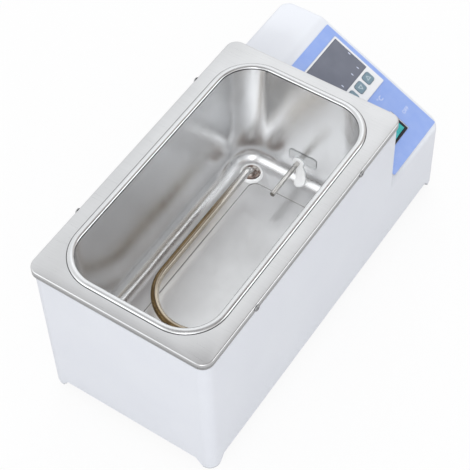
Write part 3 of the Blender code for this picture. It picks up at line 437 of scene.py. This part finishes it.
straight = gland_x - drop_radius - turn_x
edges = run(edges, (0.0, 0.0, tube_height - drop_radius - tube_end), 2)
edges = bend(edges, (gland_x - drop_radius, -leg_y, tube_height - drop_radius), (0.0, -1.0, 0.0), 90.0, 10)
edges = run(edges, (-straight, 0.0, 0.0), 8)
edges = bend(edges, (turn_x, 0.0, tube_height), (0.0, 0.0, -1.0), 180.0, 40)
edges = run(edges, (straight, 0.0, 0.0), 8)
edges = bend(edges, (gland_x - drop_radius, leg_y, tube_height - drop_radius), (0.0, 1.0, 0.0), 90.0, 10)
run(edges, (0.0, 0.0, tube_end + drop_radius - tube_height), 2)
bmesh.ops.holes_fill(bm, edges=[e for e in bm.edges if e.is_boundary], sides=0)
bmesh.ops.recalc_face_normals(bm, faces=bm.faces)

# Heat tint: the oxide film goes from bright steel near the glands to straw along the hot part, and the
# flank that faces the wall is a darker bronze. The underside and the floor pass light to and fro more often
# than a render follows, so the underside gives off what would be lost
tint_start = 0.055
tint_full = 0.0
flank_inner = leg_y - 0.0020
flank_outer = leg_y + 0.0010
tinted = finish("heat_tinted_stainless", "d2c5ad", 0.2, Metallic=1.0)
place = add(tinted, "TexCoord")["Object"]
blotch = add(tinted, "TexNoise", {"Vector": place, "Scale": per_mm(16), "Detail": 4.0})["Fac"]
part = add(tinted, "SeparateXYZ", {"Vector": place})
from_gland = add(tinted, "MapRange", {"Value": part["X"], "From Min": tint_start,
                                      "From Max": tint_full})["Result"]
past_turn = add(tinted, "Math", {0: part["X"], 1: turn_x}, operation="SUBTRACT")["Value"]
past_turn = add(tinted, "Math", {0: past_turn, 1: 0.0}, operation="MINIMUM")["Value"]
outward = add(tinted, "CombineXYZ", {"X": past_turn, "Y": part["Y"]})["Vector"]
outward = add(tinted, "VectorMath", {0: outward}, operation="LENGTH")["Value"]
outer = add(tinted, "MapRange", {"Value": outward, "From Min": flank_inner,
                                 "From Max": flank_outer})["Result"]
hot = add(tinted, "Math", {0: from_gland, 1: outer}, operation="MULTIPLY")["Value"]
straw = add(tinted, "Mix", {0: from_gland, 6: hue("d6d4d2"), 7: hue("d6ccbc")}, data_type="RGBA")[2]
bronze = add(tinted, "Mix", {0: blotch, 6: hue("5e4a35"), 7: hue("a88e62")}, data_type="RGBA")[2]
facing = add(tinted, "SeparateXYZ", {"Vector": add(tinted, "TexCoord")["Normal"]})["Z"]
feed(tinted,
     Emission_Strength=add(tinted, "MapRange", {"Value": facing, "From Min": -0.15, "From Max": -0.5,
                                                "To Max": 0.42})["Result"],
     Base_Color=add(tinted, "Mix", {0: hot, 6: straw, 7: bronze}, data_type="RGBA")[2],
     Roughness=add(tinted, "MapRange", {"Value": blotch, "To Min": 0.13, "To Max": 0.26})["Result"])
settle("sheathed_element", bm, tinted, "bath", ["heating_element"], crease=60.0)


# Element glands: dished steel cups brazed to the tube and pulled down by a nut. The brazing heat left
# the dish dark, coppery and scaled.
scaled = finish("brazed_dark_steel", "6c605a", 0.35, Metallic=1.0)
place = add(scaled, "TexCoord")["Object"]
scale_marks = add(scaled, "TexVoronoi", {"Vector": place, "Scale": per_mm(3.2)})["Distance"]
flux = add(scaled, "TexNoise", {"Vector": place, "Scale": per_mm(4), "Detail": 5.0, "Distortion": 1.2})["Fac"]
dark = add(scaled, "MapRange", {"Value": flux, "From Min": 0.4, "From Max": 0.6})["Result"]
copper = add(scaled, "Mix", {0: dark, 6: hue("4a423f"), 7: hue("b09c92")}, data_type="RGBA")[2]
bright = add(scaled, "MapRange", {"Value": scale_marks, "From Min": 0.45, "From Max": 0.75})["Result"]
feed(scaled,
     Base_Color=add(scaled, "Mix", {0: bright, 6: copper, 7: hue("c8c2bd")}, data_type="RGBA")[2],
     Roughness=add(scaled, "MapRange", {"Value": flux, "To Min": 0.16, "To Max": 0.5})["Result"],
     Normal=add(scaled, "Bump", {"Height": flux, "Distance": 0.0008, "Strength": 0.9})["Normal"])


def spun(profile, centre, steps, axis=(0.0, 0.0, 1.0)):
    """A profile of radius and height turned full circle about an axis, closed and facing out."""
    bm = bmesh.new()
    points = [bm.verts.new((radius, 0.0, height)) for radius, height in profile]
    edges = [bm.edges.new(pair) for pair in zip(points, points[1:])]
    if min(radius for radius, _ in profile) > 0:
        edges.append(bm.edges.new((points[-1], points[0])))
    bmesh.ops.spin(bm, geom=points + edges, cent=(0.0, 0.0, 0.0), axis=(0.0, 0.0, 1.0), angle=2 * math.pi,
                   steps=steps, use_merge=True)
    bmesh.ops.remove_doubles(bm, verts=bm.verts, dist=0.000001)
    facing = Vector((0.0, 0.0, 1.0)).rotation_difference(Vector(axis)).to_matrix().to_4x4()
    bmesh.ops.transform(bm, matrix=Matrix.Translation(centre) @ facing, verts=bm.verts)
    bmesh.ops.recalc_face_normals(bm, faces=bm.faces)
    return bm


# Silicone: milky and soft to light. The light that bright steel throws into it makes it glow a little, and
# it gives that off itself here
silicone = mottled("translucent_silicone", "f8f8f8", 0.28, patch=6.0, shades=("f0f3f5", "fbfdff"),
                   dullness=(0.16, 0.36), detail=3.0, Subsurface_Weight=0.25, Subsurface_Scale=0.002,
                   Subsurface_Radius=(1.0, 1.0, 1.0), Emission_Strength=0.27)

# Brass: turned and left bare, so it has gone from yellow to brown in patches
brass = mottled("turned_brass", "b8904a", 0.3, patch=3.0, shades=("9c7638", "cda75f"),
                dullness=(0.22, 0.44), detail=3.0, Metallic=1.0)
bore = tube_radius + 0.0003
neck = 0.0068
neck_foot = -0.0160
brim = 0.0100
seat_gap = 0.0003
cup = [(brim, 0.0036), (0.0098, 0.0039), (0.0093, 0.0039), (0.0090, 0.0034), (0.0080, 0.0024),
       (neck, 0.0020), (0.0056, 0.0021), (bore, 0.0026), (bore, neck_foot), (neck, neck_foot),
       (neck, seat_gap), (brim, seat_gap)]
inside_bead = 0.0103
ring = [(inside_bead, seat_gap), (0.0124, seat_gap), (0.0123, 0.0016), (0.0119, 0.0032), (0.0112, 0.0043),
        (0.0106, 0.0044), (inside_bead, 0.0040)]
for number, side in enumerate((-1, 1), 1):
    centre = (gland_x, side * leg_y, tank_floor)
    bm = spun(cup, centre, 40)
    settle(f"gland_cup_{number}", bm, scaled, "bath", [f"element_gland_{number}"],
           crease=60.0)
    bm = spun(ring, centre, 48)
    for vert in bm.verts:
        way = (vert.co - Vector(centre)).to_2d().normalized().to_3d()
        if vert.co.z > tank_floor + 0.001:
            bulge = way * 0.0005 * noise.noise(vert.co * 420)
            vert.co += bulge + Vector((0.0, 0.0, 0.0003 * noise.noise(vert.co * 300)))
    settle(f"silicone_bead_{number}", bm, silicone, "bath", [f"gland_seal_{number}"], crease=60.0)
    for node, look, slot in ((f"gland_nut_{number}", brass, "brass"),
                             (f"element_terminal_{number}", plated, "screw_steel")):
        dress(f"dressed_{node}", node, look, edge=0.0003)


# Temperature probe: a polished stainless tube closed at the tip, sealed into the end wall with hand laid
# silicone. The bead was smeared to a clear film on the wall, and a thick white lobe ran down to the floor.
# Polish makes the tube mirror the wall in sharp lines, and its welded tip is darker.
probe_radius = 0.0028
tip_length = 0.0012
probe_low, probe_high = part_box("probe")
probe_y = (probe_low.y + probe_high.y) / 2
probe_z = (probe_low.z + probe_high.z) / 2
polished = finish("polished_stainless_tube", "b9b6b2", 0.16, Metallic=1.0)
place = add(polished, "TexCoord")["Object"]
scuff = add(polished, "TexNoise", {"Vector": place, "Scale": per_mm(5), "Detail": 4.0})["Fac"]
tip = add(polished, "MapRange", {"Value": add(polished, "SeparateXYZ", {"Vector": place})["X"],
                                 "From Min": probe_low.x + tip_length,
                                 "From Max": probe_low.x + 0.0002})["Result"]
steel = add(polished, "Mix", {0: scuff, 6: hue("c2bfbb"), 7: hue("dfddda")}, data_type="RGBA")[2]
feed(polished,
     Base_Color=add(polished, "Mix", {0: tip, 6: steel, 7: hue("75706b")}, data_type="RGBA")[2],
     Roughness=add(polished, "MapRange", {"Value": scuff, "To Min": 0.12, "To Max": 0.26})["Result"])
reach = probe_high.x - probe_low.x
rod = [(0.0, reach), (0.0014, reach), (0.0023, reach - 0.0002), (0.0027, reach - 0.0006),
       (probe_radius, reach - tip_length), (probe_radius, 0.0002), (0.0026, 0.0), (0.0, 0.0)]
bm = spun(rod, (probe_high.x, probe_y, probe_z), 28, axis=(-1.0, 0.0, 0.0))
settle("probe_tube", bm, polished, "bath", ["probe"], crease=60.0)
dress("probe_lock_nut", "probe_nut", brass, edge=0.0003)

# Clear film: silicone smeared so thin that the steel shows through, with fine ripples from the finger
film_skin = finish("thin_clear_silicone", "f4f6f7", 0.15, Alpha=0.12)
place = add(film_skin, "TexCoord")["Object"]
ripple = add(film_skin, "TexNoise", {"Vector": place, "Scale": per_mm(5)})["Fac"]
feed(film_skin,
     Roughness=add(film_skin, "MapRange", {"Value": ripple, "To Min": 0.06, "To Max": 0.26})["Result"],
     Normal=add(film_skin, "Bump", {"Height": ripple, "Distance": 0.0012, "Strength": 0.8})["Normal"])

# Film edge: its rim is painted with shade, so it shows as a grey line along the film's top that fades lower
# down, uneven along the torn edge
film_edge = finish("silicone_film_edge_painted_shade", "8b8d8f", 0.3)
place = add(film_edge, "TexCoord")["Object"]
ripple = add(film_edge, "TexNoise", {"Vector": place, "Scale": per_mm(4)})["Fac"]
height = add(film_edge, "SeparateXYZ", {"Vector": place})["Z"]
shade_toward_top = add(film_edge, "MapRange", {"Value": height, "From Min": 0.087, "From Max": 0.094})["Result"]
shaded_edge_tone = add(film_edge, "Mix", {0: ripple, 6: hue("4e5054"), 7: hue("a4a6a8")}, data_type="RGBA")[2]
feed(film_edge,
     Base_Color=add(film_edge, "Mix", {0: shade_toward_top, 6: hue("cdcfd1"), 7: shaded_edge_tone}, data_type="RGBA")[2])

# The smear is a round cornered film, a lobe under it and a collar round the probe. It is worked out flat, in
# millimetres across the wall and above the bench, with an outline that wanders as a finger leaves it, and
# then laid on the wall and round the fillet
film_half_width = 14.4
film_half_height = 5.2
film_corner = 2.2
film_height = 90.6
lobe_foot = 59.0
lobe_foot_length = 6.5
lobe_head = 78.0
lobe_head_length = 8.0
collar_y = 5.0
collar_height = 82.5
collar_radius = 7.0
sheet_middle = 0.0735
sheet_reach = (0.026, 0.019)
wall_gap = 0.00015
skin = 0.0007


def part_way(value, start, end):
    """How far a value is from start to end, as a share from 0 to 1."""
    return min(1.0, max(0.0, (value - start) / (end - start)))


lean = wall_lean / (flange_top - tank_floor - floor_fillet)
fillet_top = tank_floor + floor_fillet
bm = bmesh.new()
bmesh.ops.create_grid(bm, x_segments=110, y_segments=90, size=1.0,
                      matrix=Matrix.Translation((0.0, 0.0, sheet_middle))
                      @ Matrix.Rotation(math.pi / 2, 4, "Y") @ Matrix.Diagonal((*sheet_reach, 1.0, 1.0)))

# How far a point lies inside the silicone, and how far inside its thick white part
inside = {}
milk = {}
for vert in bm.verts:
    y, z = vert.co.y * 1000, vert.co.z * 1000
    wobble = 0.9 * noise.noise((y * 0.2, z * 0.2, 3.1)) + 0.35 * noise.noise((y * 0.7, z * 0.7, 1.4))
    film = film_corner - math.hypot(max(abs(y) - film_half_width, 0.0),
                                    max(abs(z - film_height) - film_half_height, 0.0))
    # The lobe swells as it runs down, and swings to one side of the probe
    girth = 4.4 + 1.4 * part_way(z, 80.0, 65.0)
    lean_y = -1.6 + 6.1 * part_way(z, 60.0, 80.0)
    lobe = girth * (1.0 - math.hypot((y - lean_y) / girth, min(0.0, z - lobe_foot) / lobe_foot_length,
                                     max(0.0, z - lobe_head) / lobe_head_length))
    collar = collar_radius - math.hypot(y - collar_y, z - collar_height)
    inside[vert] = max(film, lobe, collar) + wobble
    milk[vert] = max(lobe, collar - 1.0) + 0.5 * wobble
    # It is thin and lumpy in the film, thickest low in the lobe, and thinner toward its outline
    lumps = max(0.0, noise.noise((y * 0.33, z * 0.33, 7.7)))
    thickness = 0.35 + 0.5 * part_way(film, 0.0, 3.0) * (0.5 + lumps)
    heavy = part_way(z, 84.0, 68.0)
    thickness += 1.7 * heavy * part_way(lobe, 0.0, 4.0) ** 0.5 + 0.3 * part_way(collar, 0.0, 4.0)
    lift = wall_gap + thickness / 1000 * min(1.0, 0.25 + max(0.0, inside[vert]) / 1.5)
    # It follows the wall down to the fillet, and then the fillet's arc
    run_down = max(0.0, fillet_top - vert.co.z)
    turn = min(run_down / floor_fillet, math.pi / 2)
    wall_x = tank_middle + well_length - lean * (flange_top - max(vert.co.z, fillet_top))
    past_fillet = run_down - floor_fillet * turn
    vert.co.x = wall_x - floor_fillet * (1 - math.cos(turn)) - past_fillet - lift * math.cos(turn)
    vert.co.z = max(vert.co.z, fillet_top) - floor_fillet * math.sin(turn) + lift * math.sin(turn)
bmesh.ops.delete(bm, geom=[v for v in bm.verts if inside[v] < 0], context="VERTS")
bmesh.ops.smooth_vert(bm, verts=[v for v in bm.verts if not v.is_boundary], factor=0.5, use_axis_x=True)
for face in bm.faces:
    face.material_index = 2 if max(milk[vert] for vert in face.verts) > 0 else 0
smear = settle("silicone_smear", bm, [film_skin, film_edge, silicone], "bath", ["probe_seal"],
               crease=80.0)
body = smear.modifiers.new("body", "SOLIDIFY")
body.thickness = skin
body.offset = -1.0
body.material_offset_rim = 1


# Overheat cut-out: a snap disc thermostat in a black moulded body, clamped under the tank's floor. The
# spark grain of the mould makes the plastic satin, and is drawn 0.6 mm wide so that it shows.
moulded = finish("black_moulded_plastic", "1d1c22", 0.42)
place = add(moulded, "TexCoord")["Object"]
grain = add(moulded, "TexNoise", {"Vector": place, "Scale": per_mm(0.6), "Detail": 2.0})["Fac"]
feed(moulded,
     Base_Color=add(moulded, "Mix", {0: grain, 6: hue("18171d"), 7: hue("26252c")}, data_type="RGBA")[2],
     Roughness=add(moulded, "MapRange", {"Value": grain, "To Min": 0.36, "To Max": 0.5})["Result"],
     Normal=add(moulded, "Bump", {"Height": grain, "Distance": 0.00003, "Strength": 0.5})["Normal"])
dress("snap_disc_cutout", "overheat_cutout", moulded, edge=0.0003)


# Control overlay: blue printed polyester film, glued to the slope and cut out round the controller and
# the switch. It is satin, with the faint mottle of a screen print.
film = finish("printed_polyester_film", "97b0eb", 0.32)
place = add(film, "TexCoord")["Object"]
mottle = add(film, "TexNoise", {"Vector": place, "Scale": per_mm(10), "Detail": 4.0})["Fac"]
fine = add(film, "TexNoise", {"Vector": place, "Scale": per_mm(0.7), "Detail": 2.0})["Fac"]
feed(film,
     Base_Color=add(film, "Mix", {0: mottle, 6: hue("8ca8ea"), 7: hue("a2b9ee")}, data_type="RGBA")[2],
     Roughness=add(film, "MapRange", {"Value": mottle, "To Min": 0.27, "To Max": 0.38})["Result"],
     Normal=add(film, "Bump", {"Height": fine, "Distance": 0.00001, "Strength": 0.4})["Normal"])
dress("blue_overlay", "control_overlay", film)

# Places on the slope are given across it, up it and out of it, from its low corner beside the tank
slope_rise = 0.0795
slope_run = 0.149
slope_corner = (0.121, -0.098, 0.0935)
slope = Matrix.Translation(slope_corner) @ Matrix.Rotation(math.atan2(slope_rise, slope_run), 4, "X")

# Screen ink: pale and chalky, a little broken up as it dries
ink = finish("pale_screen_ink", "dfe6fb", 0.45)
grit = add(ink, "TexNoise", {"Vector": add(ink, "TexCoord")["Object"], "Scale": per_mm(0.5)})["Fac"]
feed(ink, Base_Color=add(ink, "Mix", {0: grit, 6: hue("d3ddfa"), 7: hue("eaeffc")}, data_type="RGBA")[2])
film_top = 0.00074


def lettering(name, words, size, centre):
    """Flat printed characters on the film, by their middle across and up the slope."""
    curve = bpy.data.curves.new(name, "FONT")
    curve.body = words
    curve.size = size
    curve.align_x = "CENTER"
    curve.align_y = "CENTER"
    curve.resolution_u = 3
    made = bpy.data.objects.new(name, curve)
    bpy.context.scene.collection.objects.link(made)
    bpy.context.view_layer.update()
    mesh = bpy.data.meshes.new_from_object(made.evaluated_get(bpy.context.evaluated_depsgraph_get()))
    bpy.data.objects.remove(made)
    bm = bmesh.new()
    bm.from_mesh(mesh)
    bpy.data.meshes.remove(mesh)
    bmesh.ops.transform(bm, matrix=slope @ Matrix.Translation((*centre, film_top)), verts=bm.verts)
    settle(name, bm, ink, "bath")


lettering("unit_mark", "°C", 0.0075, (0.067, 0.066))
lettering("off_mark", "OFF", 0.0058, (0.079, 0.038))


# Temperature controller: a white moulded bezel screwed to its grey module behind the slope, with a smoked
# window over its dark display. The white plastic is glossy from a polished mould.
white = mottled("white_moulded_plastic", "eceef1", 0.3, patch=20.0, shades=("e8eaee", "f3f4f6"),
                dullness=(0.26, 0.36))
dress("white_bezel", "controller_bezel", white, edge=0.0003)

# Module case: grey plastic with a fine grain, duller than the bezel
grey = mottled("grey_moulded_plastic", "6d6f73", 0.45, patch=1.0, shades=("66686c", "76787c"),
               dullness=(0.4, 0.55))
dress("module_case", "controller_module", grey, edge=0.0005)

# Window: smoked acrylic over an unlit display, which together look slate grey with a faint haze
smoked = mottled("smoked_acrylic_window", "767a87", 0.22, patch=18.0, shades=("6d717e", "7f838f"),
                 dullness=(0.18, 0.3), detail=3.0)
dress("display_window", "controller_window", smoked, edge=0.0002)

# Indicator dashes: printed on the window, a longer one high on it and three in a row lower down
window_top = 0.0011
dash_height = 0.0001
dash_row = 0.1054
row_dash = (0.0008, 0.0030)
dashes = [((0.0839, 0.1220), (0.0010, 0.0032))]
dashes += [((x, dash_row), row_dash) for x in (0.0470, 0.0664, 0.0775)]
for number, (spot, size) in enumerate(dashes, 1):
    bm = bmesh.new()
    bmesh.ops.create_cube(bm, size=1.0,
                          matrix=slope @ Matrix.Translation((*spot, window_top + dash_height / 2))
                          @ Matrix.Diagonal((*size, dash_height, 1.0)))
    settle(f"indicator_dash_{number}", bm, ink, "bath")


# Keys: moulded in grey blue plastic, each with a paler printed sign. They rest a little proud of the bezel,
# and their fine grain keeps them satin.
key_plastic = mottled("grey_blue_key_plastic", "7d95a3", 0.4, patch=1.2, shades=("6f8896", "8aa0ad"),
                      dullness=(0.34, 0.48))

# Key print: a thin pale ink, which the grain under it breaks up a little
key_ink = finish("pale_key_print", "c9d8df", 0.45)
grit = add(key_ink, "TexNoise", {"Vector": add(key_ink, "TexCoord")["Object"], "Scale": per_mm(0.5)})["Fac"]
printed = add(key_ink, "Mix", {0: grit, 6: hue("bccdd5"), 7: hue("d8e4e9")}, data_type="RGBA")[2]
feed(key_ink, Base_Color=printed)
key_xs = (0.0299, 0.0453, 0.0607, 0.0761)
key_y = 0.0902
key_top = 0.0023
sign_radius = 0.0036
sign_line = 0.0007
sign_lift = 0.00008
for number, (x, sides, turn) in enumerate(zip(key_xs, (20, 3, 3, 3), (0.0, 180.0, 270.0, 90.0)), 1):
    node = f"key_{number}"
    dress(f"keycap_{number}", node, key_plastic, body=node, edge=0.0004)
    bm = bmesh.new()
    bmesh.ops.create_circle(bm, cap_ends=True, segments=sides, radius=sign_radius,
                            matrix=slope @ Matrix.Translation((x, key_y, key_top + sign_lift))
                            @ Matrix.Rotation(math.radians(turn - 90.0), 4, "Z"))
    bm.faces.ensure_lookup_table()
    middle = bm.faces[0]
    bmesh.ops.inset_individual(bm, faces=[middle], thickness=sign_line, use_even_offset=True)
    bmesh.ops.delete(bm, geom=[middle], context="FACES")
    settle(f"key_sign_{number}", bm, key_ink, node)


# Power switch: a rocker in a black moulded frame that snaps into the slope, with brass blades behind. The
# rocker is translucent green polycarbonate, so that its lamp can light it, and it looks deep and wet.
# The frame's rim is lower than the CAD node's, and narrower at its end and its back.
rim_foot = 0.0002
rim_top = 0.0010
rim_band = 0.0030
end_trim = 0.0012
back_trim = 0.0016
bm = copy_of("switch_body")
on_slope = {vert: slope.inverted() @ vert.co for vert in bm.verts}
frame_end = max(spot.x for spot in on_slope.values())
frame_back = max(spot.y for spot in on_slope.values())
for vert, spot in on_slope.items():
    if spot.z > rim_foot and spot.x > frame_end - rim_band:
        spot.x -= end_trim
    if spot.z > rim_foot and spot.y > frame_back - rim_band:
        spot.y -= back_trim
    spot.z = min(spot.z, rim_top)
    vert.co = slope @ spot
settle("switch_frame", bm, moulded, "bath", ["switch_body"], edge=0.0003)
lens = mottled("translucent_green_polycarbonate", "2aa9a2", 0.2, patch=8.0, shades=("219fa6", "4dc0bb"),
               dullness=(0.16, 0.28), Subsurface_Weight=0.3, Subsurface_Scale=0.002)
dress("green_rocker", "rocker", lens, body="rocker", edge=0.0005)
for number in range(1, 5):
    dress(f"dressed_switch_blade_{number}", f"switch_blade_{number}", brass, edge=0.0001)


# Mains inlet: a black moulded socket with a screwed flange in the back wall and three tinned brass pins.
# Tin is paler and softer than the brass under it, which shows through where a plug rubs.
dress("inlet_socket", "mains_inlet", moulded, edge=0.0004)
tinned = finish("tinned_brass_pin", "c9c4b4", 0.25, Metallic=1.0)
place = add(tinned, "TexCoord")["Object"]
wear = add(tinned, "TexNoise", {"Vector": place, "Scale": per_mm(2), "Detail": 3.0})["Fac"]
rubbed = add(tinned, "Mix", {0: wear, 6: hue("b5ad95"), 7: hue("d8d4c8")}, data_type="RGBA")[2]
feed(tinned, Base_Color=rubbed)
for number in (1, 2, 3):
    dress(f"contact_inlet_pin_{number}", f"inlet_pin_{number}", tinned, edge=0.0003)


# Electrics behind the slope: a solid state relay on its extruded sink, a terminal block and an earth stud.
# The die leaves fine lines along the aluminium, which is bright between them.
extruded = finish("extruded_aluminium", "b9bcbf", 0.38, Metallic=1.0)
place = add(extruded, "TexCoord")["Object"]
along = add(extruded, "Mapping", {"Vector": place, "Scale": (1.0, 0.05, 1.0)})["Vector"]
lines = add(extruded, "TexNoise", {"Vector": along, "Scale": per_mm(1.0), "Detail": 3.0})["Fac"]
feed(extruded,
     Base_Color=add(extruded, "Mix", {0: lines, 6: hue("a7aaad"), 7: hue("c6c9cb")}, data_type="RGBA")[2],
     Roughness=add(extruded, "MapRange", {"Value": lines, "To Min": 0.3, "To Max": 0.46})["Result"])
dress("relay_heat_sink", "relay_sink", extruded, edge=0.0004)
dress("relay_case", "solid_state_relay", moulded, edge=0.0005)
dress("terminal_strip", "terminal_block", white, edge=0.0003)
dress("earth_post", "earth_stud", brass, edge=0.0003)
dress("earth_post_nut", "earth_nut", brass, edge=0.0003)


# Studio: a matt white sweep under the bath and soft light from all round. Only mirrored light sees the room,
# which is three rings of lamps with greyer gaps between them, one above the other, under a duller ceiling.
sweep = finish("white_studio_floor", "ececed", 0.9)
sweep_reach = 6.0
under_feet = 0.0002
bm = bmesh.new()
bmesh.ops.create_grid(bm, x_segments=1, y_segments=1, size=sweep_reach,
                      matrix=Matrix.Translation((0.0, 0.0, -under_feet)))
mesh = bpy.data.meshes.new("studio_floor")
bm.to_mesh(mesh)
bm.free()
mesh.materials.append(sweep)
floor = bpy.data.objects.new("studio_floor", mesh)
bpy.context.scene.collection.objects.link(floor)

# Nine tenths of what the camera sees of the floor is plain white light, and the rest takes the bath's
# shadow. Steel mirrors a dimmer white
plain_white = 0.9
white_in_steel = 0.6
path = add(sweep, "LightPath")
seen = add(sweep, "Math", {0: path["Is Camera Ray"], 1: path["Is Transmission Ray"]},
           operation="MAXIMUM")["Value"]
mirrored = add(sweep, "Math", {0: path["Is Glossy Ray"], 1: white_in_steel}, operation="MULTIPLY")["Value"]
strength = add(sweep, "Math", {0: seen, 1: mirrored}, operation="MAXIMUM")["Value"]
glow = add(sweep, "Emission", {"Color": (1.0, 1.0, 1.0, 1.0), "Strength": strength})["Emission"]
share = add(sweep, "Math", {0: seen, 1: path["Is Glossy Ray"]}, operation="MAXIMUM")["Value"]
share = add(sweep, "Math", {0: share, 1: plain_white}, operation="MULTIPLY")["Value"]
lit = sweep.node_tree.nodes["Principled BSDF"].outputs[0]
mixed = add(sweep, "MixShader", {0: share, 1: lit, 2: glow})["Shader"]
sweep.node_tree.links.new(mixed, sweep.node_tree.nodes["Material Output"].inputs["Surface"])

# Matt faces get a soft light that is brighter from above
world = bpy.data.worlds.new("studio")
bpy.context.scene.world = world
world.use_nodes = True
backdrop = world.node_tree.nodes["Background"]
way = add(world, "SeparateXYZ", {"Vector": add(world, "TexCoord")["Generated"]})
path = add(world, "LightPath")
sky = add(world, "MapRange", {"Value": way["Z"], "From Min": 0.0, "From Max": 1.0, "To Min": 0.7,
                              "To Max": 0.95})["Result"]
bearing = add(world, "Math", {0: way["Y"], 1: way["X"]}, operation="ARCTAN2")["Value"]
bearing = add(world, "MapRange", {"Value": bearing, "From Min": -math.pi, "From Max": math.pi})["Result"]

# The room's rings: each pair is an angle round the bath in degrees and how bright the room is there
top_ring = ((-180, 0.62), (-168, 0.6), (-153, 2.3), (-142, 0.9), (-131, 0.95), (-115, 0.7), (-98, 0.6),
            (-82, 0.5), (-62, 0.15), (-45, 0.04), (-30, 0.15), (-15, 0.45), (10, 1.05), (28, 1.12),
            (46, 1.0), (75, 0.8), (107, 0.75), (122, 0.95), (150, 1.5), (163, 1.0), (180, 0.65))
middle_ring = ((-180, 0.7), (-168, 0.65), (-153, 6.0), (-142, 0.95), (-131, 1.2), (-115, 0.9), (-98, 0.7),
               (-75, 0.4), (-60, 0.14), (-48, 0.06), (-40, 0.06), (-28, 0.25), (-15, 0.5), (10, 1.4),
               (22, 1.6), (32, 1.25), (46, 1.08), (75, 0.9), (107, 0.85), (122, 1.2), (150, 2.1),
               (165, 1.3), (180, 0.75))
low_ring = ((-180, 0.75), (-153, 2.5), (-131, 1.1), (-98, 0.7), (-75, 0.8), (-60, 2.1), (-50, 2.1),
            (-40, 0.6), (-15, 0.6), (10, 1.1), (46, 0.95), (107, 0.85), (150, 1.8), (180, 0.75))
ceiling = (0.42, 0.415, 0.42, 1.0)

# A ring is warmer in its dim parts and a little cooler in its lamps
rings = []
for levels in (top_ring, middle_ring, low_ring):
    ramp = add(world, "ValToRGB", {"Fac": bearing})["Color"]
    stops = ramp.node.color_ramp.elements
    for degrees, level in levels:
        stop = stops.new((degrees + 180) / 360) if -180 < degrees < 180 else stops[0 if degrees < 0 else -1]
        warmth = max(-0.015, 0.3 * (0.75 - level))
        stop.color = (level, level * (1 - warmth), level * (1 - 1.6 * warmth), 1.0)
    rings.append(ramp)

# Each ring passes softly into the one under it, and the top one into the ceiling. The two numbers are the
# sines of the angles above the horizon where that starts and ends
room = rings[0]
for start, end, beyond in ((0.81, 0.70, rings[1]), (0.72, 0.64, rings[2]), (0.87, 0.93, ceiling)):
    share = add(world, "MapRange", {"Value": way["Z"], "From Min": start, "From Max": end},
                interpolation_type="SMOOTHSTEP")["Result"]
    room = add(world, "Mix", {0: share, 6: room, 7: beyond}, data_type="RGBA")[2]
light = add(world, "Mix", {0: path["Is Glossy Ray"], 6: sky, 7: room}, data_type="RGBA")[2]
colour = add(world, "Mix", {0: path["Is Camera Ray"], 6: light, 7: (1.0, 1.0, 1.0, 1.0)}, data_type="RGBA")[2]
world.node_tree.links.new(colour, backdrop.inputs["Color"])
backdrop.inputs["Strength"].default_value = 1.0

# Soft boxes: two square ones aimed at the bath, left out of what the steel mirrors
lamp_width = 1.2
aim = Vector((0.0, 0.0, 0.1))
for name, spot, power in (("soft_box_left", (-1.2, -0.65, 1.5), 9.0),
                          ("soft_box_back", (1.3, 0.8, 1.4), 7.0)):
    lamp = bpy.data.lights.new(name, "AREA")
    lamp.size = lamp_width
    lamp.energy = power
    stand = bpy.data.objects.new(name, lamp)
    bpy.context.scene.collection.objects.link(stand)
    stand.location = spot
    stand.rotation_euler = (aim - Vector(spot)).to_track_quat("-Z", "Y").to_euler()
    stand.visible_glossy = False

# Camera: high over the left end, looking down along the bath to the control end
lens_data = bpy.data.cameras.new("camera")
lens_data.lens = 115.57
lens_data.shift_x = -0.0025
lens_data.shift_y = -0.0057
lens_data.clip_start = 0.05
camera = bpy.data.objects.new("camera", lens_data)
bpy.context.scene.collection.objects.link(camera)
camera.location = (-0.75808, -0.52029, 1.31679)
camera.rotation_euler = [math.radians(degrees) for degrees in (36.52743, 1.29858, -56.3748)]
bpy.context.scene.camera = camera
bpy.context.scene.view_settings.view_transform = "Standard"
